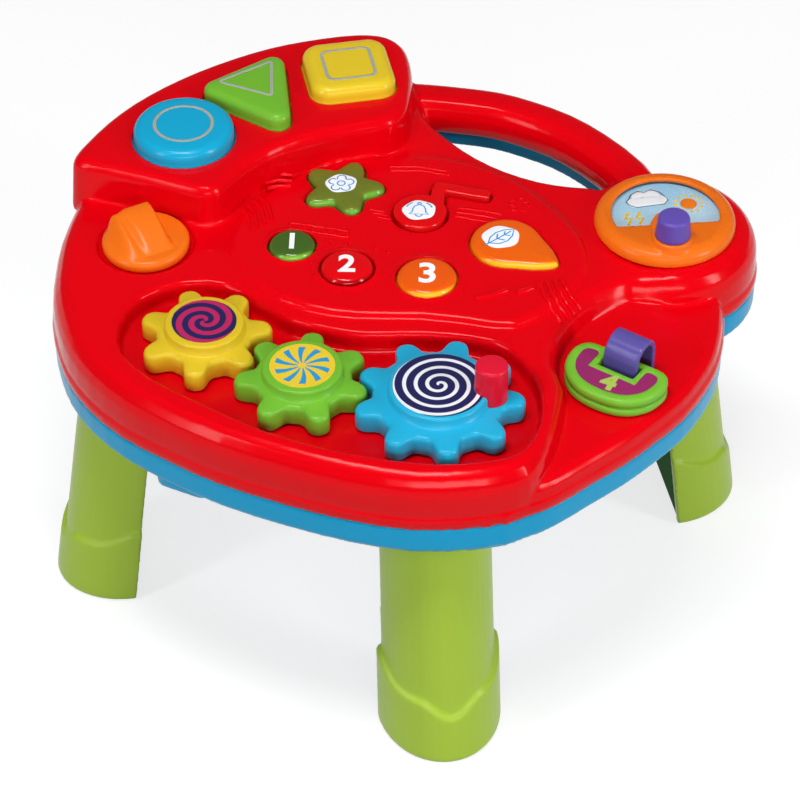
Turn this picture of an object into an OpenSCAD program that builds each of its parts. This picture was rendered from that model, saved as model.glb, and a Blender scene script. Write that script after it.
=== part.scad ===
// Musical activity table for a toddler: moulded top shell, bottom tray, four
// half-tube legs and a set of buttons, gears, a dial and flip pages.
// Origin on the floor at the centre of the leg cross, +Z up, millimetres.

/* [Housing] */
// Height of the deck above the floor
deck_z = 222; // [219:0.5:225]
// Height of the low corner that carries the pages
corner_z = 205; // [203:0.5:207]
// Rise of the button shelf above the deck
shelf_h = 26; // [22:0.5:30]
// Rise of the oval button panel above the deck
panel_h = 4; // [3:0.25:5]
// Height of the seam between top shell and tray
seam_z = 186; // [184.5:0.5:187.5]
// Depth of the tray below the seam
tray_h = 19.5; // [18:0.5:21]
// Wall thickness of the mouldings
wall = 3; // [2.4:0.1:3.2]
// Thickness of the deck's side walls at the seam, before the flange steps in
side_wall = 5; // [4:0.1:5.4]
// Radius of the round lobe under the dial
lobe_r = 58.5; // [56:0.5:60]
// Running clearance between moving pieces
gap = 0.4; // [0.3:0.05:0.5]

/* [Handle] */
// Width of the carrying bar
bar_w = 28; // [24:0.5:30]
// Depth of the upper half of the carrying bar
bar_h = 26; // [24:0.5:27]
// Thickness of the lower half of the carrying bar
bar_strip = 7; // [6:0.5:8]
// Drop of the bar's crest below the deck
bar_drop = 2; // [1:0.5:4]

/* [Legs] */
// How far a left or right foot stands out beyond the top's left edge
foot_out_x = 13; // [11:0.1:15]
// How far a front or back foot stands out beyond the top's front edge
foot_out_y = 9.5; // [8:0.5:11]
// Offset of the front and back legs to the left
leg_shift = 8; // [5:1:12]
// Half width of a foot
foot_w = 37.8; // [36:0.2:39]
// Depth of a foot, from its crown to its open side
foot_d = 46; // [43:0.5:47]
// Half width of a leg at its top
leg_w = 33; // [31:0.5:34]
// Depth of a leg at its top
leg_d = 40; // [38:0.5:42]
// Outward lean of a leg's crown
leg_lean = 8.5; // [7:0.25:9]
// Wall thickness of a leg
leg_wall = 4; // [3:0.25:4.5]
// Extra thickness of the boot round the foot
boot_t = 3; // [2:0.25:3.5]
// Height of the boot's edge at its shoulders
boot_z = 44.5; // [40:0.5:50]
// Dip of the boot's edge over the crown of the leg
boot_dip = 11; // [8:0.5:14]
// Rise of the boot's edge at the leg's open side
boot_rise = 12; // [8:0.5:16]
// Length of the leg inside its socket
tenon_h = 20; // [16:0.5:21]

/* [Gears] */
// Gear module: pitch diameter over number of teeth
gear_m = 10; // [9.8:0.05:10.05]
// Depth of the gear trough below the deck
trough_d = 13; // [11:0.5:13]
// Thickness of the toothed part of a gear
gear_h = 13; // [10:0.5:14]
// Rise of the label disc above the teeth
hub_h = 7; // [4:0.5:8]
// Radius of the large label disc
hub_r_large = 29.5; // [28:0.5:31]
// Radius of the small label discs
hub_r_small = 23.5; // [22:0.5:24.5]
// Width of a tooth at the pitch circle
tooth_w = 13.4; // [12:0.1:13.8]
// Radius of the gear axles
axle_r = 4.6; // [4:0.1:6]
// Distance of the crank post from the large gear's centre
post_offset = 29.5; // [27:0.5:30]
// Radius of the crank post
post_r = 9.8; // [8:0.1:10]
// Height of the crank post above the teeth
post_h = 24.5; // [20:0.5:28]

/* [Buttons] */
// Radius of the smallest round button
one_r = 14; // [12:0.25:15]
// Radius of the middle round button
two_r = 16; // [14:0.25:17]
// Radius of the largest round panel button
three_r = 18; // [16:0.25:19]
// Mean radius of the star button
star_r = 21.5; // [19:0.25:22]
// Half of the star's rise and dip
star_wave = 4.5; // [3:0.25:5]
// Radius of the head of the note button
note_r = 16.5; // [15:0.25:17.5]
// Width of the note's stem and flag
stem_w = 8; // [7:0.25:9]
// Radius of the head of the drop button
drop_r = 21.5; // [19:0.25:23]
// Rise of the panel buttons above the panel
key_h = 3.6; // [2.5:0.1:4.5]
// Travel of the panel buttons
key_travel = 3; // [2:0.25:3]
// Radius of the round shelf button
circle_r = 31; // [28:0.5:32]
// Half side of the square shelf button
square_w = 27; // [25:0.5:28]
// Rise of the shelf buttons above the shelf
cap_h = 10; // [8:0.25:11]
// Travel of the shelf buttons
cap_travel = 4; // [3:0.25:4]
// Width of the gap round a button
key_gap = 0.8; // [0.6:0.05:1]

/* [Twist knob] */
// Radius of the knob's base
knob_r = 26.5; // [25:0.5:27]
// Thickness of the knob's base
knob_h = 10; // [8:0.5:11]
// Height of the grip above the base
grip_h = 17; // [13:0.5:19]
// Radius of the knob's shaft
shaft_r = 5; // [4:0.1:6]
// Depth of the knob's well
well_d = 3; // [2:0.25:4]

/* [Dial] */
// Radius of the dial cover
cover_r = 43; // [41:0.5:45]
// Height of the dial cover
cover_h = 9; // [8:0.25:10]
// Wall of the dial cover
cover_t = 2.6; // [2.2:0.1:2.8]
// Radius of the dial's window
window_r = 32.8; // [31:0.2:34]
// Distance of the dial's crank knob from the dial centre
crank_offset = 27; // [26:0.5:28]
// Radius of the dial's crank knob
crank_r = 10.9; // [9:0.1:11.5]
// Height of the dial's crank knob
crank_h = 17.6; // [14:0.2:20]

/* [Pages] */
// Outer radius of the arch that holds the pages
arch_r = 11.3; // [11.1:0.1:11.5]
// Thickness of the arch band
arch_t = 3.5; // [3.2:0.1:3.6]
// Width of the arch band
arch_w = 22; // [20:0.5:23]
// Height of the arch above the low corner
arch_h = 27; // [26.5:0.1:27.5]
// Height of the hinge line above the low corner
hinge_h = 11; // [10.9:0.05:11.1]
// Half width of a page
page_w = 31; // [28:0.5:32]
// Length of a page from the hinge line
page_l = 40; // [36:0.5:41]
// Thickness of a page
page_t = 6.3; // [6:0.1:6.5]
// Width of the rim round a page's inlay
rim_w = 6; // [5:0.5:7]

/* [Tray] */
// Length of a battery
cell_l = 50.5; // [49:0.5:51]
// Radius of a battery
cell_r = 7.1; // [6.8:0.1:7.3]
// Radius of the loudspeaker
speaker_r = 25; // [20:0.5:27]
// Height of the loudspeaker
speaker_h = 13; // [10:0.5:15]
// Height of the circuit board above the seam
board_rise = 8; // [7:0.5:9]
// Thickness of the circuit board
board_t = 1.6; // [1.2:0.1:2]
// Radius of the housing screws' shanks
screw_r = 1.5; // [1.2:0.1:1.8]
// Travel of the power switch to each side
switch_travel = 3; // [2:0.25:3.5]
// Radius of the bosses under the tray's front left edge
boss_r = 8; // [6:0.5:9]
// Depth of the larger boss below the tray
boss_d = 9.5; // [7:0.5:12]

/* [Hidden] */
$fn = 48;

red = [0.89, 0.02, 0.06];
blue = [0.12, 0.65, 0.84];
leaf = [0.65, 0.77, 0.24];
green = [0.47, 0.75, 0.22];
yellow = [0.91, 0.82, 0.18];
orange = [0.94, 0.47, 0.10];
violet = [0.37, 0.29, 0.67];
seat = 0.3;

shelf_z = deck_z + shelf_h;
panel_z = deck_z + panel_h;
trough_z = deck_z - trough_d;
tray_z = seam_z - tray_h;
board_z = seam_z + board_rise;
pad_z = board_z + board_t;
pad_h = 2;
// Width of the lip that keeps a button in its opening
lip = 2.2;

// Outlines in plan, counter-clockwise, drawn as smooth curves through these points
deck_pts = [[-210, 14], [-209.7, -12], [-206.2, -36.6], [-197, -62], [-181, -88], [-159, -112],
    [-132, -137], [-98, -161], [-64, -181], [-31, -195], [0, -200], [20, -200],
    [37, -196], [49, -184], [60, -166], [68, -146], [74, -126], [74, -108], [80, -90],
    [92, -73], [107, -60], [124, -52], [146, -36], [150, -4], [148, 32], [138, 50],
    [120, 57], [103, 65], [85, 79], [71, 95], [60, 113], [51, 132], [48, 150],
    [50, 168], [48, 185], [38, 197], [20, 203], [-4, 204], [-28, 203], [-53, 199],
    [-77, 191.5], [-101, 181], [-124, 168], [-146, 152], [-165, 133], [-179, 112],
    [-190, 90], [-200, 64], [-206, 39]];
corner_pts = [[14, -198], [34, -197], [54, -190.5], [77, -178], [101, -165], [122, -151],
    [142.5, -135.5], [158.6, -118.2], [170.4, -102], [178.2, -86.5], [184.6, -69], [188, -48],
    [172, -20], [120, -20], [80, -40], [50, -90], [30, -150]];
shelf_pts = [[-184, 101], [-178, 94.6], [-163.2, 86.4], [-139.5, 72.6], [-119.5, 59.6], [-109.4, 54.2],
    [-100, 56], [-88, 68], [-74, 80], [-56, 90], [-32, 97], [-8, 100], [8, 101],
    [19, 105], [27, 115], [32, 130], [36.5, 148], [39, 166], [38, 181], [31, 193],
    [18, 199.5], [0, 201.5], [-24, 200.5], [-48, 197], [-72, 190], [-96, 180.5],
    [-120, 168], [-142, 153], [-160, 136.5], [-174, 120], [-182, 109]];
panel_pts = [[-99, 34], [-99, 10], [-89, -15], [-63, -38], [-36, -50], [1, -58],
    [28, -68], [54, -77], [82, -63], [104, -40], [111, -18], [109, 4], [100, 29],
    [84, 58], [62, 79], [34, 93], [8, 97.5], [-20, 96.5], [-46, 89], [-70, 74], [-89, 56]];
trough_pts = [[56, -128], [51, -103], [38, -86], [13, -75], [-10, -69], [-34, -65],
    [-53, -57], [-73, -44], [-90, -23], [-107, -5], [-131, 1], [-157, -7], [-172, -28],
    [-174, -51], [-160, -78], [-132, -107], [-103, -134], [-73, -154], [-43, -169],
    [-14, -179], [13, -182], [34, -178], [50, -157]];
bar_pts = [[26, 173], [50, 166], [71.5, 158], [92, 149], [110, 136], [128.4, 118.8],
    [144, 96.5], [158.6, 66], [164, 36]];
screw_pts = [[-174, 70], [-166, -80], [-90, -149], [62, -166], [150, -98], [176, 45],
    [28, 184], [-122, 159]];
board_pts = [[-140, 84], [-140, 122], [-104, 150], [-60, 172], [22, 176], [24, 120],
    [60, 62], [98, 0], [98, -36], [40, -44], [-40, -34], [-84, 0], [-96, 60]];
post_pts = [[-128, 100], [10, 166], [88, -22], [-72, 0]];
boss_pts = [[-156, -98], [-138.5, -111]];

gear_green_c = [-75.4, -95];
n_large = 9;
n_small = 7;
large_pitch = gear_m * n_large / 2;
small_pitch = gear_m * n_small / 2;
gear_blue_c = gear_green_c + (large_pitch + small_pitch) * [cos(-23), sin(-23)];
gear_yellow_c = gear_green_c + 2 * small_pitch * [cos(135), sin(135)];
gear_z = trough_z + 1 + seat;
tooth_z = gear_z + gear_h;
hub_z = tooth_z + hub_h;
label_t = 0.4;
post_a = -14.5;

one_c = [-62.4, 18.7];
two_c = [-33.8, -8.7];
three_c = [11.2, -26.6];
star_c = [-22.6, 68];
note_c = [19.1, 34.3];
note_bend = [34.4, 55.5];
note_end = [64.5, 41.5];
drop_c = [64.3, -3.5];
drop_tail = [89, -28.6];
circle_c = [-114, 110.7];
square_c = [-3, 154];
square_round = 12;
triangle_pts = [[-88, 147], [-55, 114], [-50, 165]];
triangle_round = 8;
knob_c = [-147.9, 43.1];
dial_c = [164.3, 1.1];
dial_a = -6;
hinge_c = [114.7, -108.4];
hinge_a = -45;
hinge_z = corner_z + hinge_h;
spring_z = corner_z + arch_h - arch_r;
slot_w = arch_w + 2;
bay_c = [-20, 24];
bay_w = 6 * cell_r + 4;
bay_l = cell_l + 6;
door_w = bay_w + 8;
door_l = bay_l + 10;
speaker_c = [-84, -66];
switch_c = [70, 32];

function unit(v) = v / norm(v);
function crom(a, b, c, d, t) = 0.5 * (2 * b + (c - a) * t
    + (2 * a - 5 * b + 4 * c - d) * t * t + (3 * b - a - 3 * c + d) * t * t * t);
// Closed smooth curve through p with n steps between two points
function smooth(p, n) = let (m = len(p)) [for (i = [0:m - 1]) for (j = [0:n - 1])
    crom(p[(i + m - 1) % m], p[i], p[(i + 1) % m], p[(i + 2) % m], j / n)];
// Open smooth curve through the inner points of p
function smooth_path(p, n) = [for (i = [1:len(p) - 3]) for (j = [0:n - 1])
    crom(p[i - 1], p[i], p[i + 1], p[i + 2], j / n)];
// Counter-clockwise outline p moved inwards by d
function inset(p, d) = let (m = len(p)) [for (i = [0:m - 1])
    let (e1 = unit(p[i] - p[(i + m - 1) % m]), e2 = unit(p[(i + 1) % m] - p[i]),
         k = [-e1[1] - e2[1], e1[0] + e2[0]]) p[i] + d * 2 * k / (k * k)];
function side(c, i) = let (a = c[max(i - 1, 0)], b = c[min(i + 1, len(c) - 1)],
    u = unit(b - a)) [-u[1], u[0]];
// Closed band of width w along the open curve c
function band(c, w) = concat([for (i = [0:len(c) - 1]) c[i] - side(c, i) * w / 2],
    [for (i = [len(c) - 1:-1:0]) c[i] + side(c, i) * w / 2]);
function ring(c, r, n) = [for (i = [0:n - 1]) c + r * [cos(360 * i / n), sin(360 * i / n)]];
// Polygon c with its corners rounded outwards by r
function rounded(c, r, k) = let (m = len(c)) [for (i = [0:m - 1])
    let (a = c[(i + m - 1) % m], b = c[i], d = c[(i + 1) % m],
         t0 = atan2(b[1] - a[1], b[0] - a[0]) - 90,
         t1 = atan2(d[1] - b[1], d[0] - b[0]) - 90,
         dt = ((t1 - t0) % 360 + 360) % 360)
    for (j = [0:k]) b + r * [cos(t0 + dt * j / k), sin(t0 + dt * j / k)]];
// Outline of a gear with n rounded teeth, the first one at angle 0
function gear_outline(n) = let (p = gear_m * n / 2, ap = asin(tooth_w / 2 / p),
    tip = p + 0.45 * gear_m, root = p - 0.65 * gear_m)
    smooth([for (i = [0:n - 1]) for (q = [[-180 / n, root], [-ap - 3.4, root + 1.4],
        [-ap, p - 0.4], [-ap * 0.55, tip - 1], [0, tip], [ap * 0.55, tip - 1],
        [ap, p - 0.4], [ap + 3.4, root + 1.4]])
        let (a = 360 * i / n + q[0]) q[1] * [cos(a), sin(a)]], 2);
star_pts = [for (i = [0:39]) let (a = 9 * i) star_c
    + (star_r + star_wave * cos(5 * (a + 13))) * [cos(a), sin(a)]];
drop_a = atan2(drop_tail[1] - drop_c[1], drop_tail[0] - drop_c[0]);
drop_pts = smooth([for (q = [[0, 1.72], [16, 1.42], [40, 1.08], [75, 1], [110, 1],
    [145, 1], [180, 1], [-145, 1], [-110, 1], [-75, 1], [-40, 1.08], [-16, 1.42]])
    drop_c + drop_r * q[1] * [cos(drop_a + q[0]), sin(drop_a + q[0])]], 3);
square_pts = rounded([for (q = [[-1, -1], [1, -1], [1, 1], [-1, 1]])
    square_c + (square_w - square_round) * q], square_round, 5);
tri_outline = rounded(triangle_pts, triangle_round, 6);
circle_pts = ring(circle_c, circle_r, 48);

// Solid between copies of outline p, each [inset, height] of prof, bottom to top
module loft(p, prof) {
    n = len(p);
    m = len(prof);
    polyhedron([for (q = prof) for (v = inset(p, q[0])) [v[0], v[1], q[1]]],
        concat([[for (i = [0:n - 1]) i], [for (i = [n - 1:-1:0]) (m - 1) * n + i]],
        [for (j = [0:m - 2]) for (i = [0:n - 1]) let (k = (i + 1) % n)
            [j * n + i, (j + 1) * n + i, (j + 1) * n + k]],
        [for (j = [0:m - 2]) for (i = [0:n - 1]) let (k = (i + 1) % n)
            [j * n + i, (j + 1) * n + k, j * n + k]]));
}

deck_outline = smooth(deck_pts, 2);
corner_outline = smooth(corner_pts, 2);
shelf_outline = smooth(shelf_pts, 2);
panel_outline = smooth(panel_pts, 2);
trough_outline = smooth(trough_pts, 2);
bar_outline = band(smooth_path(concat([bar_pts[0]], bar_pts, [bar_pts[8]]), 2), bar_w);
lobe_outline = ring(dial_c, lobe_r, 60);
flange = 7;
bar_z = deck_z - bar_drop;

function roll(top) = [[0, seam_z], [0, seam_z + flange], [1.4, seam_z + flange + 1.2],
    [1, seam_z + flange + 5], [1.8, top - 13], [3.6, top - 7.4], [7, top - 2.4],
    [11, top]];
function hollow(base, top, r, side = side_wall) = [[side, base], [side, top - wall - r],
    [side + r, top - wall]];

module housing_solid() {
    loft(deck_outline, roll(deck_z));
    loft(lobe_outline, roll(deck_z));
    loft(corner_outline, [[0, seam_z], [0, seam_z + flange], [1.4, seam_z + flange + 1.2],
        [2, corner_z - 5], [4.2, corner_z - 1.8], [8, corner_z]]);
    loft(shelf_outline, [[-2.5, deck_z - 12], [0, shelf_z - 7], [1.2, shelf_z - 3.4],
        [3.6, shelf_z - 0.9], [6.5, shelf_z]]);
    loft(panel_outline, [[0, deck_z - 8], [0, panel_z - 3], [1.2, panel_z - 1.2],
        [4, panel_z]]);
    loft(bar_outline, [[6, bar_z - bar_h], [1.6, bar_z - bar_h + 3], [0, bar_z - bar_h + 9],
        [0, bar_z - 11], [2, bar_z - 5], [5.6, bar_z - 1.2], [9.5, bar_z]]);
}

module housing_cavity() {
    loft(deck_pts, hollow(seam_z - 1, deck_z, 8));
    loft(ring(dial_c, lobe_r, 40), hollow(seam_z - 1, deck_z, 8));
    loft(corner_pts, hollow(seam_z - 1, corner_z, 5));
    loft(shelf_pts, hollow(deck_z - 11, shelf_z, 4, wall));
    loft(panel_pts, [[wall, deck_z - 9], [wall, panel_z - wall]]);
}

module place_keys() {
    translate(one_c) circle(one_r + key_gap);
    translate(two_c) circle(two_r + key_gap);
    translate(three_c) circle(three_r + key_gap);
    polygon(inset(star_pts, -key_gap));
    polygon(inset(drop_pts, -key_gap));
    offset(key_gap, $fn = 20) note_shape();
}

module note_shape() {
    offset(2, $fn = 20) offset(-2, $fn = 20) {
        translate(note_c) circle(note_r, $fn = 40);
        polygon(band([note_c + [11, 4], note_bend + [1, 0]], stem_w + 1));
        polygon(band([note_bend + [-2, 2.4], note_end], stem_w));
    }
}

// Collar round a button of radius r, raised above the panel
module collar(c, r) {
    translate([c[0], c[1], 0]) hull() {
        translate([0, 0, panel_z - 2]) cylinder(r = r + 4.4, h = 2, $fn = 40);
        translate([0, 0, panel_z - 1]) cylinder(r = r + 2.8, h = 2, $fn = 40);
    }
}

module screw_columns(r) {
    for (p = screw_pts) translate([p[0], p[1], seam_z]) cylinder(r = r, h = shelf_z);
}

module hinge_frame() {
    translate([hinge_c[0], hinge_c[1], 0]) rotate(hinge_a) children();
}

module top_shell() color(red) difference() {
    union() {
        difference() {
            housing_solid();
            housing_cavity();
        }
        intersection() {
            housing_solid();
            screw_columns(screw_r + 3.5, $fn = 14);
        }
        loft(trough_pts, [[-wall, trough_z - wall], [-wall, deck_z - 4]]);
        translate([knob_c[0], knob_c[1], deck_z - well_d - wall])
            cylinder(r = knob_r + wall + 2, h = wall + 1);
        collar(one_c, one_r);
        collar(two_c, two_r);
        collar(three_c, three_r);
    }
    loft(trough_outline, [[3, trough_z], [0.9, trough_z + 0.9], [0, trough_z + 3],
        [0, deck_z - 4], [-1.2, deck_z - 1.2], [-3.5, deck_z + 0.6]]);
    translate([knob_c[0], knob_c[1], deck_z - well_d]) hull() {
        cylinder(r = knob_r + 2, h = well_d - 1, $fn = 48);
        cylinder(r = knob_r + 3, h = well_d + 1, $fn = 48);
    }
    translate([knob_c[0], knob_c[1], deck_z]) cylinder(r = knob_r + 1, h = knob_h, $fn = 48);
    translate([knob_c[0], knob_c[1], deck_z - well_d - wall - 1])
        cylinder(r = shaft_r + gap, h = wall + 2);
    translate([0, 0, deck_z - 12]) linear_extrude(panel_h + 14) place_keys();
    translate([0, 0, deck_z - 12]) linear_extrude(12 + panel_h - wall)
        polygon(inset(star_pts, -lip - key_gap));
    key_cut(circle_pts);
    key_cut(tri_outline);
    key_cut(square_pts);
    hinge_frame() for (s = [-1, 1]) translate([-arch_w / 2 - seat,
        s * (arch_r - arch_t / 2) - arch_t / 2 - seat, corner_z - wall - 1])
        cube([arch_w + 2 * seat, arch_t + 2 * seat, wall + 2]);
    translate([128, -97, corner_z - 0.8]) hull() {
        cylinder(r = 33.5, h = 0.2, $fn = 48);
        cylinder(r = 35, h = 1, $fn = 48);
    }
    for (p = screw_pts) translate([p[0], p[1], seam_z - 1]) hull() {
        cylinder(r = screw_r + 0.2, h = 11, $fn = 14);
        cylinder(r = screw_r, h = 12, $fn = 14);
    }
}

module key_cut(p) {
    translate([0, 0, shelf_z - 8]) linear_extrude(12) polygon(inset(p, -key_gap));
}

module plan_core() {
    polygon(deck_outline);
    polygon(lobe_outline);
    polygon(corner_outline);
}

// Half-elliptic leg wall in plan: crown towards -Y, open side at y = 0
function leg_arc(w, d, n) = [for (i = [0:n]) let (t = 180 * i / n) [w * cos(t), -d * sin(t)]];
function leg_ring(w, d, t, n) = concat(leg_arc(w, d, n),
    [for (v = [n:-1:0]) let (p = leg_arc(w - t, d - t, n)[v]) p]);
socket_z = tray_z - 8;
tenon_top = socket_z + tenon_h;
crown_in = socket_z * tan(leg_lean);
leg_reach_x = foot_out_x - min([for (p = deck_pts) p[0]]);
leg_reach_y = foot_out_y - min([for (p = deck_pts) p[1]]);
// Y of a leg's open side where it enters its socket
function chord_y(reach) = leg_d + boot_t - reach + crown_in;

module leg_socket(reach, clear) {
    d = leg_d + clear;
    translate([0, chord_y(reach), 0]) polygon(concat(
        leg_arc(leg_w + clear, d, 24),
        [[-leg_w - clear, clear], [leg_w + clear, clear]]));
}

module leg_slot(reach) {
    translate([0, chord_y(reach), 0]) difference() {
        polygon(concat(leg_arc(leg_w + seat, leg_d + seat, 24),
            [[-leg_w - seat, seat], [leg_w + seat, seat]]));
        polygon(concat(leg_arc(leg_w - leg_wall - seat, leg_d - leg_wall - seat, 24),
            [[-leg_w + leg_wall + seat, 1], [leg_w - leg_wall - seat, 1]]));
    }
}

module each_leg() {
    translate([-leg_shift, 0, 0]) children(0);
    translate([-leg_shift, 0, 0]) rotate(180) children(0);
    rotate(-90) children(1);
    rotate(90) children(1);
}

module bottom_tray() color(blue) difference() {
    union() {
        difference() {
            union() {
                translate([0, 0, tray_z + 3]) linear_extrude(tray_h - 3)
                    offset(delta = -0.6) plan_core();
                translate([0, 0, tray_z]) linear_extrude(3) offset(delta = -2.6) plan_core();
            }
            translate([0, 0, tray_z + wall]) linear_extrude(tray_h)
                offset(delta = -0.6 - wall) plan_core();
        }
        translate([0, 0, socket_z]) linear_extrude(seam_z - 1 - socket_z) each_leg() {
            leg_socket(leg_reach_y, wall + seat);
            leg_socket(leg_reach_x, wall + seat);
        }
        for (p = screw_pts) translate([p[0], p[1], tray_z])
            cylinder(r = screw_r + 3.5, h = tray_h);
        for (p = post_pts) translate([p[0], p[1], tray_z + 1])
            cylinder(r = 4, h = board_z - tray_z - 1);
        translate([bay_c[0] - bay_w / 2 - 2, bay_c[1] - bay_l / 2 - 2, tray_z + 1])
            cube([bay_w + 4, bay_l + 4, 2 * cell_r + wall + 1]);
        translate([speaker_c[0], speaker_c[1], tray_z + 1])
            cylinder(r = speaker_r + seat + 2, h = wall + 4);
        bar_lower();
        hull() for (p = boss_pts) translate([p[0], p[1], tray_z - boss_d])
            cylinder(r1 = boss_r - 1.5, r2 = boss_r, h = boss_d + 3, $fn = 32);
        translate([-171.5, -79.5, tray_z - boss_d / 2])
            cylinder(r1 = boss_r - 2.5, r2 = boss_r - 1, h = boss_d / 2 + 3, $fn = 32);
    }
    translate([0, 0, socket_z - 1]) linear_extrude(tenon_h + 1 + seat) each_leg() {
        leg_slot(leg_reach_y);
        leg_slot(leg_reach_x);
    }
    translate([bay_c[0] - bay_w / 2, bay_c[1] - bay_l / 2, tray_z - 1])
        cube([bay_w, bay_l, 2 * cell_r + wall + 4]);
    translate([bay_c[0] - door_w / 2, bay_c[1] - door_l / 2, tray_z - 1])
        cube([door_w, door_l, 3]);
    translate([bay_c[0], bay_c[1] + door_l / 2 - 3.2, tray_z])
        cylinder(r = screw_r, h = 8);
    translate([speaker_c[0], speaker_c[1], tray_z + wall])
        cylinder(r = speaker_r + seat, h = 12);
    for (a = [0:2], i = [0:max(0, 6 * a - 1)]) translate([speaker_c[0], speaker_c[1], tray_z - 1])
        rotate(60 * i / max(1, a)) translate([7.5 * a, 0, 0]) cylinder(r = 2.2, h = 6);
    translate([switch_c[0] - 4 - switch_travel - gap, switch_c[1] - 3 - gap, tray_z - 1])
        cube([8 + 2 * switch_travel + 2 * gap, 6 + 2 * gap, wall + 2]);
    for (p = screw_pts) translate([p[0], p[1], tray_z - 1]) {
        cylinder(r = screw_r + gap, h = tray_h + 2);
        cylinder(r = 2 * screw_r + 1, h = 4);
    }
}

module bar_lower() {
    difference() {
        translate([0, 0, bar_z - bar_h - bar_strip - 3]) linear_extrude(bar_strip + 3)
            offset(delta = -6.5) polygon(bar_outline);
        translate([0, 0, seam_z]) linear_extrude(20) offset(delta = seat) plan_core();
        translate([0, 0, tray_z]) linear_extrude(20) offset(delta = -4) plan_core();
    }
}

// Screw standing head down, underside of the head at z = 0
module screw(l) {
    translate([0, 0, -1.8]) cylinder(r = 2 * screw_r, h = 1.8);
    cylinder(r = screw_r, h = l);
}

module housing_screws() color("silver") for (p = screw_pts)
    translate([p[0], p[1], tray_z + 3]) screw(tray_h + 5);

// Leg with its boot and tenon; reach is the distance from the centre to the crown
module leg(reach) color(leaf) {
    n = 20;
    m = 2 * n + 2;
    lean = tan(leg_lean);
    rows = [for (q = [0:5]) [for (v = [0:m - 1])
        let (outer = v <= n, i = outer ? v : m - 1 - v, t = 180 * i / n,
            edge = boot_z + boot_rise * pow(abs(cos(t)), 12)
                - boot_dip * (1 + cos(180 * min(1, abs(t - 90) / 32))) / 2,
            z = [0, 2.5, edge - 1, edge + 1, socket_z, tenon_top][q],
            s = min(z, socket_z) / socket_z,
            w = foot_w - boot_t + s * (leg_w - foot_w + boot_t),
            d = foot_d - boot_t + s * (leg_d - foot_d + boot_t),
            b = outer ? [boot_t - 2, boot_t, boot_t, 0, 0, 0][q] : -leg_wall,
            y0 = foot_d - reach - (foot_d - boot_t - leg_d) * s + min(z, socket_z) * lean)
        [(w + b) * cos(t), y0 - (d + b) * sin(t), z]]];
    pts = [for (r = rows) for (p = r) p];
    polyhedron(pts, concat(
        [for (i = [0:n - 1]) [m - 1 - i, m - 2 - i, i + 1, i]],
        [for (i = [0:n - 1]) [5 * m + i, 5 * m + i + 1, 6 * m - 2 - i, 6 * m - 1 - i]],
        [for (j = [0:4]) for (i = [0:m - 1]) let (k = (i + 1) % m)
            [j * m + i, j * m + k, (j + 1) * m + k]],
        [for (j = [0:4]) for (i = [0:m - 1]) let (k = (i + 1) % m)
            [j * m + i, (j + 1) * m + k, (j + 1) * m + i]]));
}

module leg_front() translate([-leg_shift, 0, 0]) leg(leg_reach_y);
module leg_back() translate([-leg_shift, 0, 0]) rotate(180) leg(leg_reach_y);
module leg_left() rotate(-90) leg(leg_reach_x);
module leg_right() rotate(90) leg(leg_reach_x);

module battery_door() color(blue) difference() {
    translate([bay_c[0] - door_w / 2 + seat, bay_c[1] - door_l / 2 + seat, tray_z])
        cube([door_w - 2 * seat, door_l - 2 * seat, 2]);
    translate([bay_c[0], bay_c[1] + door_l / 2 - 3.2, tray_z - 1])
        cylinder(r = screw_r + gap, h = 4);
}

module battery_door_screw() color("silver")
    translate([bay_c[0], bay_c[1] + door_l / 2 - 3.2, tray_z]) screw(6);

module batteries() color("dimgray") for (i = [-1:1]) translate([bay_c[0] + i * (2 * cell_r + 0.4),
    bay_c[1] - cell_l / 2, tray_z + 2 + seat + cell_r]) rotate([-90, 0, 0]) {
    cylinder(r = cell_r, h = cell_l - 1);
    cylinder(r = 2.6, h = cell_l);
}

module battery_contacts() color("silver") for (s = [-1, 1])
    translate([bay_c[0] - bay_w / 2 + 2, bay_c[1] + s * (bay_l / 2 - 1.1) - 0.8, tray_z + 4])
        cube([bay_w - 4, 1.6, 2 * cell_r - 3]);

module circuit_board() color([0.1, 0.4, 0.2])
    translate([0, 0, board_z]) linear_extrude(board_t) polygon(board_pts);

module speaker() color("dimgray") translate([speaker_c[0], speaker_c[1], tray_z + wall])
    rotate_extrude() polygon([[0, 3], [8, 3], [speaker_r - 3, 0], [speaker_r, 0],
        [speaker_r, 2.5], [speaker_r - 3, 2.5], [12, speaker_h - 6], [12, speaker_h],
        [0, speaker_h]]);

module switch_pads() color("dimgray") for (p = key_centres())
    translate([p[0], p[1], pad_z]) cylinder(r1 = 6, r2 = 4, h = pad_h);

function key_centres() = [one_c, two_c, three_c, star_c, note_c, drop_c, circle_c,
    square_c, triangle_stem];
triangle_stem = (triangle_pts[0] + triangle_pts[1] + triangle_pts[2]) / 3;

module power_switch() color("dimgray") translate([switch_c[0], switch_c[1], 0]) {
    translate([-4, -3, tray_z - 1]) cube([8, 6, wall + 3]);
    translate([-10, -5, tray_z + wall + seat]) cube([20, 10, 1.5]);
}

// Stem and retaining flange under a button whose opening is in a wall with its
// underside at height under
module key_stem(c, under, travel) {
    translate([c[0], c[1], pad_z + pad_h + travel + seat])
        cylinder(r = 4, h = under - seat - 1 - (pad_z + pad_h + travel + seat));
}

module round_key(c, r) {
    under = panel_z - wall;
    translate([c[0], c[1], 0]) rotate_extrude() polygon([[0, under - seat - 2],
        [r + lip, under - seat - 2], [r + lip, under - seat], [r, under - seat],
        [r, panel_z + key_h - 2.2], [r - 0.7, panel_z + key_h - 1], [r - 2.4, panel_z + key_h - 0.25],
        [r - 4, panel_z + key_h], [0, panel_z + key_h]]);
    key_stem(c, under, key_travel);
}

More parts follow.
